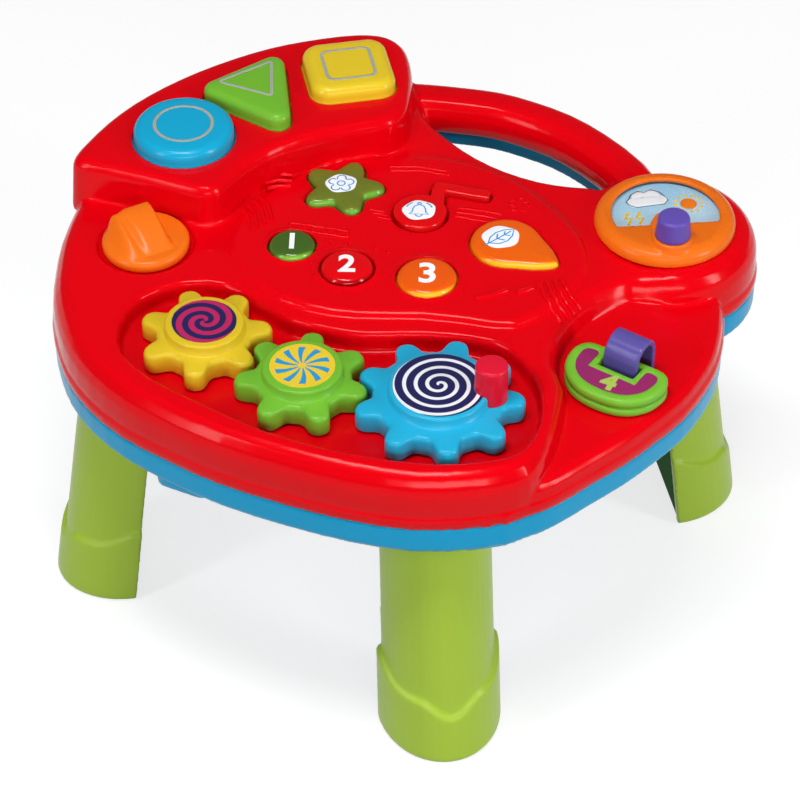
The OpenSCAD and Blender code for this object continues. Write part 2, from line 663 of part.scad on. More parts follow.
module panel_key(p, c) {
    under = panel_z - wall - seat;
    top = panel_z + key_h;
    loft(p, [[-lip, under - 2], [-lip, under], [0, under], [0, top - 2.4], [0.9, top - 0.9],
        [3, top]]);
    key_stem(c, under + seat, key_travel);
}

module shelf_key(p, c, r) {
    under = shelf_z - wall - seat;
    top = shelf_z + cap_h;
    loft(p, [[-lip, under - 2], [-lip, under], [0, under], [0, top - r],
        [r * 0.13, top - r * 0.5], [r * 0.5, top - r * 0.13], [r, top]]);
    key_stem(c, under + seat, cap_travel);
}

module button_one() color([0.3, 0.45, 0.2]) round_key(one_c, one_r);
module button_two() color([0.8, 0.05, 0.1]) round_key(two_c, two_r);
module button_three() color(orange) round_key(three_c, three_r);
module star_button() color([0.45, 0.5, 0.15]) panel_key(star_pts, star_c);
module drop_button() color(orange) panel_key(drop_pts, drop_c);
module note_button() color(red) {
    under = panel_z - wall;
    translate([0, 0, under - seat - 2]) linear_extrude(2) offset(lip, $fn = 20) note_shape();
    translate([0, 0, under - 1]) linear_extrude(wall + key_h - 0.5) note_shape();
    translate([0, 0, panel_z + key_h - 1.6]) linear_extrude(0.8) offset(-0.6, $fn = 20) note_shape();
    key_stem(note_c, under, key_travel);
}
module circle_button() color(blue) {
    under = shelf_z - wall;
    top = shelf_z + cap_h;
    translate([circle_c[0], circle_c[1], 0]) rotate_extrude($fn = 96) polygon([
        [0, under - seat - 2], [circle_r + lip, under - seat - 2],
        [circle_r + lip, under - seat], [circle_r, under - seat], [circle_r, top - 6],
        [circle_r - 0.8, top - 3], [circle_r - 3, top - 0.8], [circle_r - 6, top],
        [0, top]]);
    key_stem(circle_c, under, cap_travel);
}
module triangle_button() color(green) shelf_key(tri_outline, triangle_stem, 5);
module square_button() color(yellow) shelf_key(square_pts, square_c, 6);

knob_z = deck_z - well_d + seat;
knob_top = knob_z + knob_h;
module twist_knob() color(orange) translate([knob_c[0], knob_c[1], 0]) difference() {
    union() {
        rotate_extrude($fn = 96) polygon([[0, knob_z], [knob_r, knob_z],
            [knob_r, knob_top - 3], [knob_r - 1, knob_top - 1], [knob_r - 3, knob_top],
            [0, knob_top]]);
        hull() {
            translate([-3, 9, knob_top - 2]) cylinder(r = 15, h = 2, $fn = 32);
            translate([-3, 11, knob_top + grip_h - 8]) cylinder(r1 = 11, r2 = 7, h = 8, $fn = 32);
            translate([7, -19, knob_top - 2]) cylinder(r = 5, h = 3, $fn = 24);
        }
    }
    translate([0, 0, knob_z - 1]) cylinder(r = shaft_r, h = 7);
}

module knob_shaft() color("dimgray") translate([knob_c[0], knob_c[1], 0]) {
    translate([0, 0, deck_z - well_d - wall - 6]) cylinder(r = shaft_r, h = wall + 12 + seat);
    translate([0, 0, deck_z - well_d - wall - seat - 2]) cylinder(r = shaft_r + 4, h = 2);
}

module gear(c, n, a, hub) {
    translate([c[0], c[1], 0]) difference() {
        union() {
            translate([0, 0, gear_z]) rotate(a) linear_extrude(gear_h) polygon(gear_outline(n));
            translate([0, 0, tooth_z - 1]) cylinder(r = hub, h = hub_h + 1, $fn = 96);
        }
        translate([0, 0, gear_z - 1]) cylinder(r = axle_r + gap, h = gear_h + 1 + seat);
    }
}

post_c = gear_blue_c + post_offset * [cos(post_a), sin(post_a)];
post_z = tooth_z - 0.6;
module gear_yellow() color(yellow) gear(gear_yellow_c, n_small, -5.4, hub_r_small);
module gear_green() color(green) gear(gear_green_c, n_small, -32.6, hub_r_small);
module gear_blue() color(blue) difference() {
    gear(gear_blue_c, n_large, -95.6, hub_r_large);
    translate([post_c[0], post_c[1], post_z]) cylinder(r = post_r + 0.2, h = 20);
}

module gear_label(c, r) translate([c[0], c[1], hub_z]) cylinder(r = r, h = label_t, $fn = 96);
module yellow_gear_label() color("purple") gear_label(gear_yellow_c, hub_r_small - 4.6);
module green_gear_label() color("khaki") gear_label(gear_green_c, hub_r_small - 4.6);
module blue_gear_label() color("midnightblue") difference() {
    gear_label(gear_blue_c, hub_r_large - 3);
    translate([post_c[0], post_c[1], hub_z - 1]) cylinder(r = post_r + 0.2, h = 3);
}

module crank_post() color("crimson") translate([post_c[0], post_c[1], tooth_z])
    rotate_extrude() polygon([[0, post_z - tooth_z], [post_r, post_z - tooth_z],
        [post_r - 0.5, post_h - 2], [post_r - 1.2, post_h - 0.6], [post_r - 2.6, post_h],
        [0, post_h]]);

module gear_axles() color("dimgray")
    for (c = [gear_blue_c, gear_green_c, gear_yellow_c]) translate([c[0], c[1], trough_z]) {
        cylinder(r = axle_r + 5, h = 1);
        cylinder(r = axle_r, h = 1 + seat + gear_h - 1);
    }

cover_z = deck_z + gap;
module picture_disc() color([0.72, 0.85, 0.92]) translate([dial_c[0], dial_c[1], deck_z])
    cylinder(r = window_r + 1.2, h = cover_h - cover_t - 1.5, $fn = 96);

module dial_track() color("dimgray") translate([dial_c[0], dial_c[1], deck_z]) difference() {
    cylinder(r = cover_r - cover_t - gap, h = cover_h - cover_t - gap, $fn = 96);
    translate([0, 0, -1]) cylinder(r = window_r + 1.2 + seat, h = 20, $fn = 96);
}

module dial_frame() {
    translate([dial_c[0], dial_c[1], cover_z]) rotate(dial_a) children();
}

chord = 11;
tongue = 12;
module dial_cover() color(orange) dial_frame() {
    union() {
        difference() {
            rotate_extrude($fn = 96) polygon([[0, cover_h - cover_t],
                [cover_r - cover_t, cover_h - cover_t], [cover_r - cover_t, 0], [cover_r, 0], [cover_r, cover_h - 6],
                [cover_r - 1, cover_h - 3.2], [cover_r - 3.4, cover_h - 1],
                [cover_r - 7, cover_h], [0, cover_h]]);
            intersection() {
                translate([0, 0, 1]) cylinder(r = window_r, h = cover_h, $fn = 96);
                translate([-cover_r, -chord, 0]) cube([2 * cover_r, 2 * cover_r, cover_h + 2]);
            }
        }
        translate([0, -crank_offset, cover_h - cover_t])
            cylinder(r1 = tongue + 2, r2 = tongue, h = cover_t + 4);
        translate([0, 3 - crank_offset / 2, cover_h - cover_t])
            cylinder(r1 = tongue - 1, r2 = tongue - 3, h = cover_t + 2);
    }
}

module dial_knob() color(violet) dial_frame() translate([0, -crank_offset, cover_h + 4])
    rotate_extrude() polygon([[0, 0], [crank_r, 0], [crank_r - 1.6, crank_h - 2],
        [crank_r - 2.3, crank_h - 0.6], [crank_r - 3.8, crank_h], [0, crank_h]]);

module page_arch() color(violet) hinge_frame() translate([-arch_w / 2, 0, 0])
    rotate([90, 0, 90]) linear_extrude(arch_w) difference() {
        union() {
            translate([0, spring_z]) circle(arch_r, $fn = 96);
            translate([-arch_r, corner_z - wall - 2])
                square([2 * arch_r, spring_z - corner_z + wall + 2]);
        }
        translate([0, spring_z]) circle(arch_r - arch_t, $fn = 96);
        translate([arch_t - arch_r, corner_z - wall - 3])
            square([2 * (arch_r - arch_t), spring_z - corner_z + wall + 3]);
    }

// D-shaped outline of a page in the hinge frame
page_shape = [for (q = [[-24, -1], [-30, -7], [-31, -15], [-28, -26], [-20, -35],
    [-8, -39.6], [8, -39.6], [20, -35], [28, -26], [31, -15], [30, -7], [24, -1],
    [8, -0.6], [-8, -0.6]]) [q[0] * page_w / 31, q[1] * page_l / 39.6]];
low_z = corner_z + seat;
mid_z = low_z + page_t + seat;
slot_r = arch_h - hinge_h + 0.5;
upper_edge = 5.5;
lower_edge = 2.5;

module page_blank(z, t) {
    loft(smooth(page_shape, 3), [[2, z], [0.5, z + 0.8], [0, z + 2.2], [0, z + t - 2.2],
        [0.5, z + t - 0.8], [2, z + t]]);
}

// Kidney-shaped field inside the rim of the upper page
module inlay_shape(d) {
    offset(2.5 - d, $fn = 20) offset(-2.5) difference() {
        offset(-rim_w) polygon(smooth(page_shape, 3));
        translate([-slot_w / 2 - 3.5, -slot_r - 4]) square([slot_w + 7, slot_r + 10]);
    }
}

module page_upper() color(green) hinge_frame() difference() {
    page_blank(mid_z, page_t);
    translate([-slot_w / 2, -slot_r, mid_z - 1])
        cube([slot_w, slot_r - upper_edge, page_t + 2]);
    translate([0, 0, mid_z + page_t - 0.8]) linear_extrude(2) inlay_shape(0);
}

module page_upper_inlay() color([0.6, 0.15, 0.43]) hinge_frame()
    translate([0, 0, mid_z + page_t - 0.8]) linear_extrude(0.6) inlay_shape(0.2);

module page_lower() color(green) hinge_frame() {
    difference() {
        page_blank(low_z, page_t);
        translate([-slot_w / 2, -slot_r, low_z - 1])
            cube([slot_w, slot_r, page_t + 2]);
        translate([-2 * page_w, -lower_edge - 1.5, low_z - 1])
            cube([4 * page_w, 9, page_t + 2]);
    }
    translate([0, 0, low_z + page_t - 2.6]) {
        translate([-slot_w / 2 - 5, 0.1 - lower_edge, 0])
            cube([slot_w + 10, 2 * lower_edge - 0.2, 2.5]);
        for (s = [-1, 1]) translate([s * (slot_w / 2 + 3) - 1.5, -lower_edge - 4, 0.3])
            cube([3, 2 * lower_edge + 3, 1.9]);
    }
}

top_shell();
bottom_tray();
housing_screws();
leg_front();
leg_back();
leg_left();
leg_right();
battery_door();
battery_door_screw();
batteries();
battery_contacts();
circuit_board();
speaker();
switch_pads();
power_switch();
gear_axles();
picture_disc();
dial_track();
page_arch();
circle_button();
triangle_button();
square_button();
star_button();
note_button();
drop_button();
button_one();
button_two();
button_three();
twist_knob();
knob_shaft();
gear_yellow();
gear_green();
gear_blue();
yellow_gear_label();
green_gear_label();
blue_gear_label();
crank_post();
dial_cover();
dial_knob();
page_upper();
page_upper_inlay();
page_lower();
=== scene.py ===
import math

import bmesh
import bpy
from mathutils import Matrix, Vector
from mathutils.bvhtree import BVHTree


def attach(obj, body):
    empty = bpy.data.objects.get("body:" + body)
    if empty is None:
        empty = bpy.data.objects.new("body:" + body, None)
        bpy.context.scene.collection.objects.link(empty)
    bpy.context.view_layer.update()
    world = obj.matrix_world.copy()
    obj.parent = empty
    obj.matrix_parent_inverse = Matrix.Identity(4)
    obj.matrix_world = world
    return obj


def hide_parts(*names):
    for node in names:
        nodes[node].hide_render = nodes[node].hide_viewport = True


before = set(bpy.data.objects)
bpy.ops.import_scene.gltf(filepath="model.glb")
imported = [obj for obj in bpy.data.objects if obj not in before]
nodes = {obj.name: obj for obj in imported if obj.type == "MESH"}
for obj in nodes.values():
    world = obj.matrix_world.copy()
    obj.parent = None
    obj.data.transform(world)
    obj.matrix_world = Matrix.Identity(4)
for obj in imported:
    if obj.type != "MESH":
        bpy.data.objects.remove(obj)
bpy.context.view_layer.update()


# ---- The room: a pale floor and soft studio lamps -------------------------------
# A plain matt floor carries the table. Four soft lamps hang over and beside it, and
# a grey room stands round it, so that the gloss of the plastic has something to show.
scene = bpy.context.scene
scene.view_settings.view_transform = "Standard"


class Sock:
    """A shader socket with arithmetic: an expression on values adds its Math nodes."""

    def __init__(self, tree, out):
        self.tree, self.out = tree, out

    def math(self, op, *others):
        return node(self.tree, "ShaderNodeMath", {"operation": op}, [self, *others])

    def math_from(self, op, other):
        return node(self.tree, "ShaderNodeMath", {"operation": op}, [other, self])

    def sibling(self, name):
        """Another output of the same node."""
        return Sock(self.tree, self.out.node.outputs[name])

    def __add__(self, other):
        return self.math("ADD", other)

    def __radd__(self, other):
        return self.math_from("ADD", other)

    def __sub__(self, other):
        return self.math("SUBTRACT", other)

    def __rsub__(self, other):
        return self.math_from("SUBTRACT", other)

    def __mul__(self, other):
        return self.math("MULTIPLY", other)

    def __rmul__(self, other):
        return self.math_from("MULTIPLY", other)

    def __truediv__(self, other):
        return self.math("DIVIDE", other)

    def __rtruediv__(self, other):
        return self.math_from("DIVIDE", other)

    def __gt__(self, other):
        return self.math("GREATER_THAN", other)

    def __lt__(self, other):
        return self.math("LESS_THAN", other)


def node(tree, kind, settings=None, values=(), out=0):
    """Any node: its settings first, then the values or links of its sockets."""
    made = tree.nodes.new(kind)
    for key, value in (settings or {}).items():
        setattr(made, key, value)
    pairs = values.items() if isinstance(values, dict) else enumerate(values)
    for key, value in pairs:
        if isinstance(value, Sock):
            tree.links.new(value.out, made.inputs[key])
        else:
            made.inputs[key].default_value = value
    return Sock(tree, made.outputs[out] if made.outputs else None)


def paint(red, green, blue):
    """Linear colour of an sRGB paint given from 0 to 255."""
    return tuple(((c / 255 + 0.055) / 1.055) ** 2.4 if c > 10 else c / 255 / 12.92
                 for c in (red, green, blue)) + (1.0,)


def new_tree(name):
    mat = bpy.data.materials.new(name)
    mat.use_nodes = True
    mat.node_tree.nodes.clear()
    return mat, mat.node_tree


floor_grey, floor_glow = 0.36, 0.72
floor_mesh = bpy.data.meshes.new("floor")
floor_mesh.from_pydata([(-4, -4, 0), (4, -4, 0), (4, 5, 0), (-4, 5, 0)], [], [(0, 1, 2, 3)])
floor = bpy.data.objects.new("floor", floor_mesh)
scene.collection.objects.link(floor)
mat, tree = new_tree("floor_matt")
path = node(tree, "ShaderNodeLightPath")
seen = path.math("MAXIMUM", path.sibling("Is Glossy Ray"))
seen = seen.math("MAXIMUM", path.sibling("Is Transmission Ray"))
matt = node(tree, "ShaderNodeBsdfDiffuse", values={
    "Color": (floor_grey, floor_grey, floor_grey, 1)})
glow = node(tree, "ShaderNodeEmission", values={
    "Color": (1, 1, 1, 1), "Strength": seen * floor_glow})
both = node(tree, "ShaderNodeAddShader", values=[matt, glow])
node(tree, "ShaderNodeOutputMaterial", values=[both])
floor_mesh.materials.append(mat)

world = bpy.data.worlds.new("room")
world.use_nodes = True
room = world.node_tree.nodes["Background"].inputs
room["Color"].default_value = (0.92, 0.95, 1, 1)
room["Strength"].default_value = 0.14
scene.world = world


def lamp(name, place, aim, wide, high, watts):
    data = bpy.data.lights.new(name, "AREA")
    data.shape, data.size, data.size_y, data.energy = "RECTANGLE", wide, high, watts
    made = bpy.data.objects.new(name, data)
    made.location = place
    made.rotation_euler = (Vector(aim) - Vector(place)).to_track_quat("-Z", "Y").to_euler()
    scene.collection.objects.link(made)


lamp("lamp_over", (-0.25, -0.35, 1.9), (0, 0, 0.2), wide=0.9, high=0.36, watts=19.5)
lamp("lamp_left", (-1.6, -0.7, 1.0), (0, 0, 0.15), wide=0.3, high=1.2, watts=10)
lamp("lamp_right", (1.5, -1.2, 0.9), (0, 0, 0.15), wide=0.35, high=1.0, watts=17)
lamp("lamp_front", (-0.2, -2.0, 1.0), (0, 0, 0.12), wide=1.4, high=0.3, watts=13)

camera = bpy.data.objects.new("camera", bpy.data.cameras.new("camera"))
camera.data.lens, camera.data.sensor_width = 135, 36
camera.location = (-0.2663, -1.3704, 1.3641)
look = Vector((-0.026, -0.134, 0.230)) - camera.location
camera.rotation_euler = look.to_track_quat("-Z", "Y").to_euler()
camera.data.clip_start, camera.data.clip_end = 0.05, 20
scene.collection.objects.link(camera)
scene.camera = camera


# ---- The top shell --------------------------------------------------------------
# One large injection moulding in glossy red plastic, about 3 mm thick, with the
# shelf, the panel, the gear trough and the carrying bar formed in it. Every edge
# has a moulded radius, and eight screws from below hold it on the tray.
def blend(tree, factor, a, b):
    """Colour mix of a and b, through Blender's Mix node."""
    return node(tree, "ShaderNodeMix", {"data_type": "RGBA"}, {0: factor, 6: a, 7: b}, out=2)


def noise(tree, spot, scale, detail):
    return node(tree, "ShaderNodeTexNoise", values={
        "Vector": spot, "Scale": scale, "Detail": detail})


def bumps(tree, strength, height, depth=0.0004):
    return node(tree, "ShaderNodeBump", values={
        "Strength": strength, "Distance": depth, "Height": height})


def darker(colour, share):
    return tuple(c * share for c in colour[:3]) + (1.0,)


def surfaced(mat, values):
    """The material, ended by a shader with these values or links."""
    shader = node(mat.node_tree, "ShaderNodeBsdfPrincipled", values=values)
    node(mat.node_tree, "ShaderNodeOutputMaterial", values=[shader])
    return mat


def plastic(name, colour, gloss=0.22, cloud=0.10, peel=0.05, shine=0.24):
    """Glossy moulded plastic: a faint cloud in the colour, an uneven gloss, orange peel."""
    mat, tree = new_tree(name)
    spot = node(tree, "ShaderNodeTexCoord", out=3)
    wide, fine, rub = (noise(tree, spot, *grain) for grain in ((11, 3), (420, 2), (75, 5)))
    tone = blend(tree, wide * cloud + rub * (cloud * 0.4), colour, darker(colour, 0.82))
    return surfaced(mat, {"Base Color": tone, "Roughness": rub * 0.12 + (gloss - 0.06),
                          "Normal": bumps(tree, peel, fine + wide * 3.0),
                          "Specular IOR Level": shine})


def evaluated(obj):
    """A new mesh of obj, as its modifiers leave it."""
    view = bpy.context.evaluated_depsgraph_get()
    return bpy.data.meshes.new_from_object(obj.evaluated_get(view))


def shade(mesh, smooth=True):
    for face in mesh.polygons:
        face.use_smooth = smooth


def baked(obj):
    """obj with its evaluated mesh in place of its own, and no modifier left."""
    mesh = evaluated(obj)
    obj.modifiers.clear()
    obj.data = mesh
    mesh.name = obj.name
    shade(mesh)
    return obj


def added(piece, mesh):
    obj = bpy.data.objects.new(piece, mesh)
    scene.collection.objects.link(obj)
    return obj


def eased(obj, factor, rounds, group=""):
    """obj with its surface smoothed, all of it or where a group of its points says."""
    ease = obj.modifiers.new("ease", "SMOOTH")
    ease.factor, ease.iterations, ease.vertex_group = factor, rounds, group
    return obj


def moulded(piece, source, voxel, rounds, keep=1.0):
    """A soft-edged skin of a solid: a merged copy, remeshed, smoothed and thinned."""
    form = bmesh.new()
    form.from_mesh(nodes[source].data)
    bmesh.ops.remove_doubles(form, verts=form.verts, dist=1e-6)
    mesh = bpy.data.meshes.new(piece)
    form.to_mesh(mesh)
    form.free()
    obj = added(piece, mesh)
    skin = obj.modifiers.new("skin", "REMESH")
    skin.mode, skin.voxel_size = "VOXEL", voxel
    eased(obj, 0.5, rounds)
    if keep < 1:
        thin = obj.modifiers.new("thin", "DECIMATE")
        thin.ratio = keep
    return baked(obj)


def finish_piece(obj, mat, body, slot, *stands_for):
    """The piece's material, the body it moves with and the solids it stands for; slot is not used."""
    if mat is not None:
        obj.data.materials.clear()
        obj.data.materials.append(mat)
    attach(obj, body)
    if stands_for:
        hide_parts(*stands_for)


red_plastic = plastic("red_shell_plastic", paint(222, 0, 14), gloss=0.16, cloud=0.12, shine=0.13)
shell = moulded("shell_moulding", "top_shell", voxel=0.0012, rounds=6, keep=0.3)
# The foot of the dial's lobe runs down to the low corner in a soft curve.
bend = shell.vertex_groups.new(name="bend")
bend_middle, bend_reach = Vector((0.130, -0.056, 0.221)), 0.030
for v in shell.data.vertices:
    near = 1 - (v.co - bend_middle).length / bend_reach
    if near > 0:
        bend.add([v.index], min(1.0, 2 * near), "REPLACE")
shell = baked(eased(shell, 0.6, 110, "bend"))
finish_piece(shell, red_plastic, "table", "shell_red", "top_shell")


# ---- The raised lines on the panel ----------------------------------------------
# Low ribs moulded in one with the shell: bars, a fan, piano keys and dots round the
# buttons. Each follows a drawn path with a round back, half sunk in the panel.
def begun_tree(name, inputs):
    """A new tree of geometry nodes, and its named inputs as sockets."""
    tree = bpy.data.node_groups.new(name, "GeometryNodeTree")
    for label, kind in inputs.items():
        tree.interface.new_socket(label, in_out="INPUT", socket_type="NodeSocket" + kind)
    tree.interface.new_socket("Geometry", in_out="OUTPUT", socket_type="NodeSocketGeometry")
    source = tree.nodes.new("NodeGroupInput")
    return tree, [Sock(tree, source.outputs[k]) for k in range(len(inputs))]


def ended_tree(tree, shape, coat):
    """The tree's last nodes: real geometry in the given material."""
    real = node(tree, "GeometryNodeRealizeInstances", values=[shape])
    coated = node(tree, "GeometryNodeSetMaterial", values={"Geometry": real, "Material": coat})
    node(tree, "NodeGroupOutput", values=[coated])
    return tree


def line_tree():
    """Geometry nodes: every edge path of the mesh becomes a bar of oval section."""
    tree, (paths, width, thick, coat) = begun_tree("drawn_line", {
        "Geometry": "Geometry", "Width": "Float", "Thickness": "Float", "Material": "Material"})
    path = node(tree, "GeometryNodeMeshToCurve", values={"Mesh": paths})
    path = node(tree, "GeometryNodeSetCurveNormal", {"mode": "Z_UP"}, {"Curve": path})
    section = node(tree, "GeometryNodeCurvePrimitiveCircle", values={
        "Resolution": 12, "Radius": 0.5})
    size = node(tree, "ShaderNodeCombineXYZ", values=[width, thick, 1.0])
    oval = node(tree, "GeometryNodeTransform", values={"Geometry": section, "Scale": size})
    bar = node(tree, "GeometryNodeCurveToMesh", values={
        "Curve": path, "Profile Curve": oval, "Fill Caps": True})
    return ended_tree(tree, bar, coat)


def grown(obj, tree, **values):
    """obj run through a tree of geometry nodes, whose inputs are set by identifier."""
    made = obj.modifiers.new(tree.name, "NODES")
    made.node_group = tree
    for item in tree.interface.items_tree:
        if item.in_out == "INPUT" and item.name in values:
            made[item.identifier] = values[item.name]
    return baked(obj)


def facing_out(mesh, near=1e-6, slivers=False):
    """Doubles merged, slivers taken out where asked, and the faces turned outwards."""
    form = bmesh.new()
    form.from_mesh(mesh)
    bmesh.ops.remove_doubles(form, verts=form.verts, dist=near)
    if slivers:
        bmesh.ops.dissolve_degenerate(form, edges=form.edges, dist=1e-7)
    bmesh.ops.recalc_face_normals(form, faces=form.faces)
    form.to_mesh(mesh)
    form.free()


def stepped(points, step=2.0):
    """The same path with more points, none farther than a step from the next."""
    made = []
    for a, b in zip(points, points[1:]):
        n = max(1, math.ceil(math.dist(a, b) / step))
        made += [(a[0] + (b[0] - a[0]) * i / n, a[1] + (b[1] - a[1]) * i / n) for i in range(n)]
    return made + [points[-1]]


def metres(*place):
    """A place in metres, from its millimetres."""
    return [c / 1000 for c in place]


def surface_height(ground, x, y):
    """Height in millimetres of the ground at x, y, felt for from 300 mm up."""
    return ground.ray_cast(Vector(metres(x, y, 300)), Vector((0, 0, -1)))[0].z * 1000


drawn_line = line_tree()


def drawn(piece, paths, z, width, thick, mat, ground=None):
    """Bars along paths in millimetres; a path is (points, closed) at height z.

    With a ground, z counts from that surface and the path is cut into short steps."""
    verts, edges = [], []
    for points, closed in paths:
        first = len(verts)
        if ground:
            points = stepped(points)
        verts += [metres(x, y, z + (surface_height(ground, x, y) if ground else 0))
                  for x, y in points]
        edges += [(first + i, first + i + 1) for i in range(len(points) - 1)]
        if closed:
            edges.append((len(verts) - 1, first))
    mesh = bpy.data.meshes.new(piece)
    mesh.from_pydata(verts, edges, [])
    obj = grown(added(piece, mesh), drawn_line, Width=width / 1000, Thickness=thick / 1000,
                Material=mat)
    facing_out(obj.data, near=1e-7)
    return obj


def opened(*lines):
    return [(points, False) for points in lines]


def arc(cx, cy, r, a0, a1, n=14):
    return [(cx + r * math.cos(math.radians(a0 + (a1 - a0) * i / n)),
             cy + r * math.sin(math.radians(a0 + (a1 - a0) * i / n))) for i in range(n + 1)]


panel_z = 226.0
ribs = opened([(-67, 87.5), (-59, 89.3), (-51, 87)], [(-69, 82), (-60.5, 83.7), (-52, 81)],
              [(-68.4, 76.8), (-61, 78), (-53.5, 75.6)], arc(-61, 64, 30, 92, 140, 8))
ribs += opened(*([(-82.2 + 4 * k, 62 + 3.4 * k), (-79.7 + 4.7 * k, 53.4 + 2.8 * k),
                  (-80.2 + 4.9 * k, 40.5 + 2.2 * k)] for k in range(-1, 3)))
keys = opened(*([(-60 + 6.6 * i, 40.6 - 3.0 * i), (-61 + 6.6 * i, 34.8 - 3.0 * i)]
                for i in range(6)),
              [(-60, 40.6), (-27, 25.6)], [(-61, 34.8), (-28, 19.8)])
staff = opened(*([(43.3 - 1.8 * k, 35.2 - 3.7 * k), (56 - 3 * k, 30.3 - 4 * k),
                  (67.5 - 3.4 * k, 24 - 3.4 * k)] for k in range(3)))
staff += opened(*([(10, 84 - 4 * k), (28, 80 - 4 * k), (44, 72 - 4 * k)] for k in range(2)))
staff += opened(*([(-10 + 1.5 * k, 44 - 4 * k), (-2 + 1.5 * k, 40 - 4 * k)] for k in range(3)))
fan = opened(*([(76.3 + 4.3 * k, -44), (75.8 + 4.8 * k, -56 + 1.6 * k),
                (78.5 + 4.8 * k, -66 + 3 * k), (82 + 4.8 * k, -74 + 4.2 * k)] for k in range(4)))
dashes = opened([(35.4, -50.4), (45.4, -49.9), (55.1, -46.4)],
                [(60.4, -50.2), (65, -49.3), (70.2, -47.3)])
petals = opened(*(arc(80.7 + 4.4 * math.cos(math.radians(a)), 31.2 + 4.4 * math.sin(math.radians(a)),
                      2.3, a - 130, a + 130, 8) for a in range(0, 360, 72)))
dots = opened(*([(x, y), (x + 1.4, y + 0.4)] for x, y in (
    (-49, 12), (-39.8, 17.3), (-29, 13.5), (-14.6, 6.4), (-8, 1.3), (-55.3, 0.3), (-54.1, -11.5))))
shell_ground = BVHTree.FromPolygons([v.co for v in shell.data.vertices],
                                    [p.vertices for p in shell.data.polygons])
for name, paths, wide, thick, sink in (
        ("panel_ribs", ribs, 3.0, 3.4, 0.2), ("panel_keys", keys, 2.0, 2.2, 0.1),
        ("panel_staff", staff, 1.7, 1.8, 0.1), ("panel_fan", fan, 3.0, 3.6, 0.2),
        ("panel_dashes", dashes, 3.8, 3.4, 0.2), ("panel_flower", petals, 1.6, 1.5, 0.1),
        ("panel_dots", dots, 2.8, 2.6, 0.2)):
    if name == "panel_fan":
        relief = drawn(name, paths, -sink, wide, thick, red_plastic, shell_ground)
    else:
        relief = drawn(name, paths, panel_z - sink, wide, thick, red_plastic)
    finish_piece(relief, None, "table", "shell_red")


# ---- The bottom tray ------------------------------------------------------------
# A shallow blue moulding that closes the shell from below. It carries the leg
# sockets, the battery box, the grille and the blue half of the carrying bar.
blue_plastic = plastic("blue_tray_plastic", paint(20, 158, 206), gloss=0.3, peel=0.08, shine=0.16)
tray = moulded("tray_moulding", "bottom_tray", voxel=0.0014, rounds=4, keep=0.42)
finish_piece(tray, blue_plastic, "table", "tray_blue", "bottom_tray")


# ---- The legs -------------------------------------------------------------------
# Four half-tube legs in apple-green plastic, which lean outwards and plug into the
# tray. Round each foot the wall is thicker, up to a soft wavy edge like a boot's,
# and a thin web closes the leg's open side, painted dark green as shade.
leg_plastic = plastic("green_leg_plastic", paint(165, 195, 60), gloss=0.34, cloud=0.14, peel=0.1)
for side in ("front", "back", "left", "right"):
    leg = moulded("leg_tube_" + side, "leg_" + side, voxel=0.0011, rounds=9, keep=0.5)
    finish_piece(leg, leg_plastic, "table", "leg_green", "leg_" + side)

leg_top, leg_lean = 158.5, math.tan(math.radians(8.5))
web_foot, web_head = 1.2, leg_top - 0.5
# The web's dark green is painted shade, darker than the leg's plastic to stand for the shadow inside
# the leg.
web_painted_shade = plastic("leg_web_painted_shade", paint(26, 92, 24), gloss=0.7, cloud=0.2, peel=0.1, shine=0.04)
for side, turn, reach, shift in (("front", 0, 209.5, -8), ("back", 180, 209.5, -8),
                                 ("left", -90, 223, 0), ("right", 90, 223, 0)):
    corners = []
    for z in (web_foot, web_head):
        half = 31.6 - 1.8 * z / leg_top
        rim = 46 - reach - 3 * z / leg_top + z * leg_lean
        corners += [(-half, rim - 3.6, z), (half, rim - 3.6, z), (half, rim - 1.0, z),
                    (-half, rim - 1.0, z)]
    web_mesh = bpy.data.meshes.new("leg_web_" + side)
    web_mesh.from_pydata([metres(*corner) for corner in corners], [], [
        (3, 2, 1, 0), (4, 5, 6, 7), (0, 1, 5, 4), (1, 2, 6, 5), (2, 3, 7, 6), (3, 0, 4, 7)])
    web_mesh.transform(Matrix.Translation(metres(shift, 0, 0))
                       @ Matrix.Rotation(math.radians(turn), 4, "Z"))
    finish_piece(added("leg_web_" + side, web_mesh), web_painted_shade, "table", "leg_green")


# ---- The shelf buttons ----------------------------------------------------------
# A round, a triangular and a square push button stand in the raised shelf. They are
# glossy caps with a wide edge radius, and each bears its own shape as a silver line.
def inwards(outline, d):
    """A counter-clockwise outline moved inwards by d."""
    made = []
    for i, p in enumerate(outline):
        a, b = outline[i - 1], outline[(i + 1) % len(outline)]
        e1, e2 = (p - a).normalized(), (b - p).normalized()
        k = Vector((-e1.y - e2.y, e1.x + e2.x))
        made.append(p + k * (2 * d / k.length_squared))
    return made


def ringed(piece, rings, foot, head):
    """A closed skin over rings of places in millimetres, from a foot to a head point."""
    form = bmesh.new()
    made = [[form.verts.new(metres(*place)) for place in ring] for ring in rings]
    n = len(made[0])
    for low, high in zip(made, made[1:]):
        for i in range(n):
            form.faces.new((low[i], low[(i + 1) % n], high[(i + 1) % n], high[i]))
    for ring, end in ((made[0], foot), (made[-1], head)):
        hub = form.verts.new(metres(*end))
        for i in range(n):
            form.faces.new((hub, ring[i], ring[(i + 1) % n]))
    bmesh.ops.recalc_face_normals(form, faces=form.faces)
    mesh = bpy.data.meshes.new(piece)
    form.to_mesh(mesh)
    form.free()
    shade(mesh)
    return added(piece, mesh)


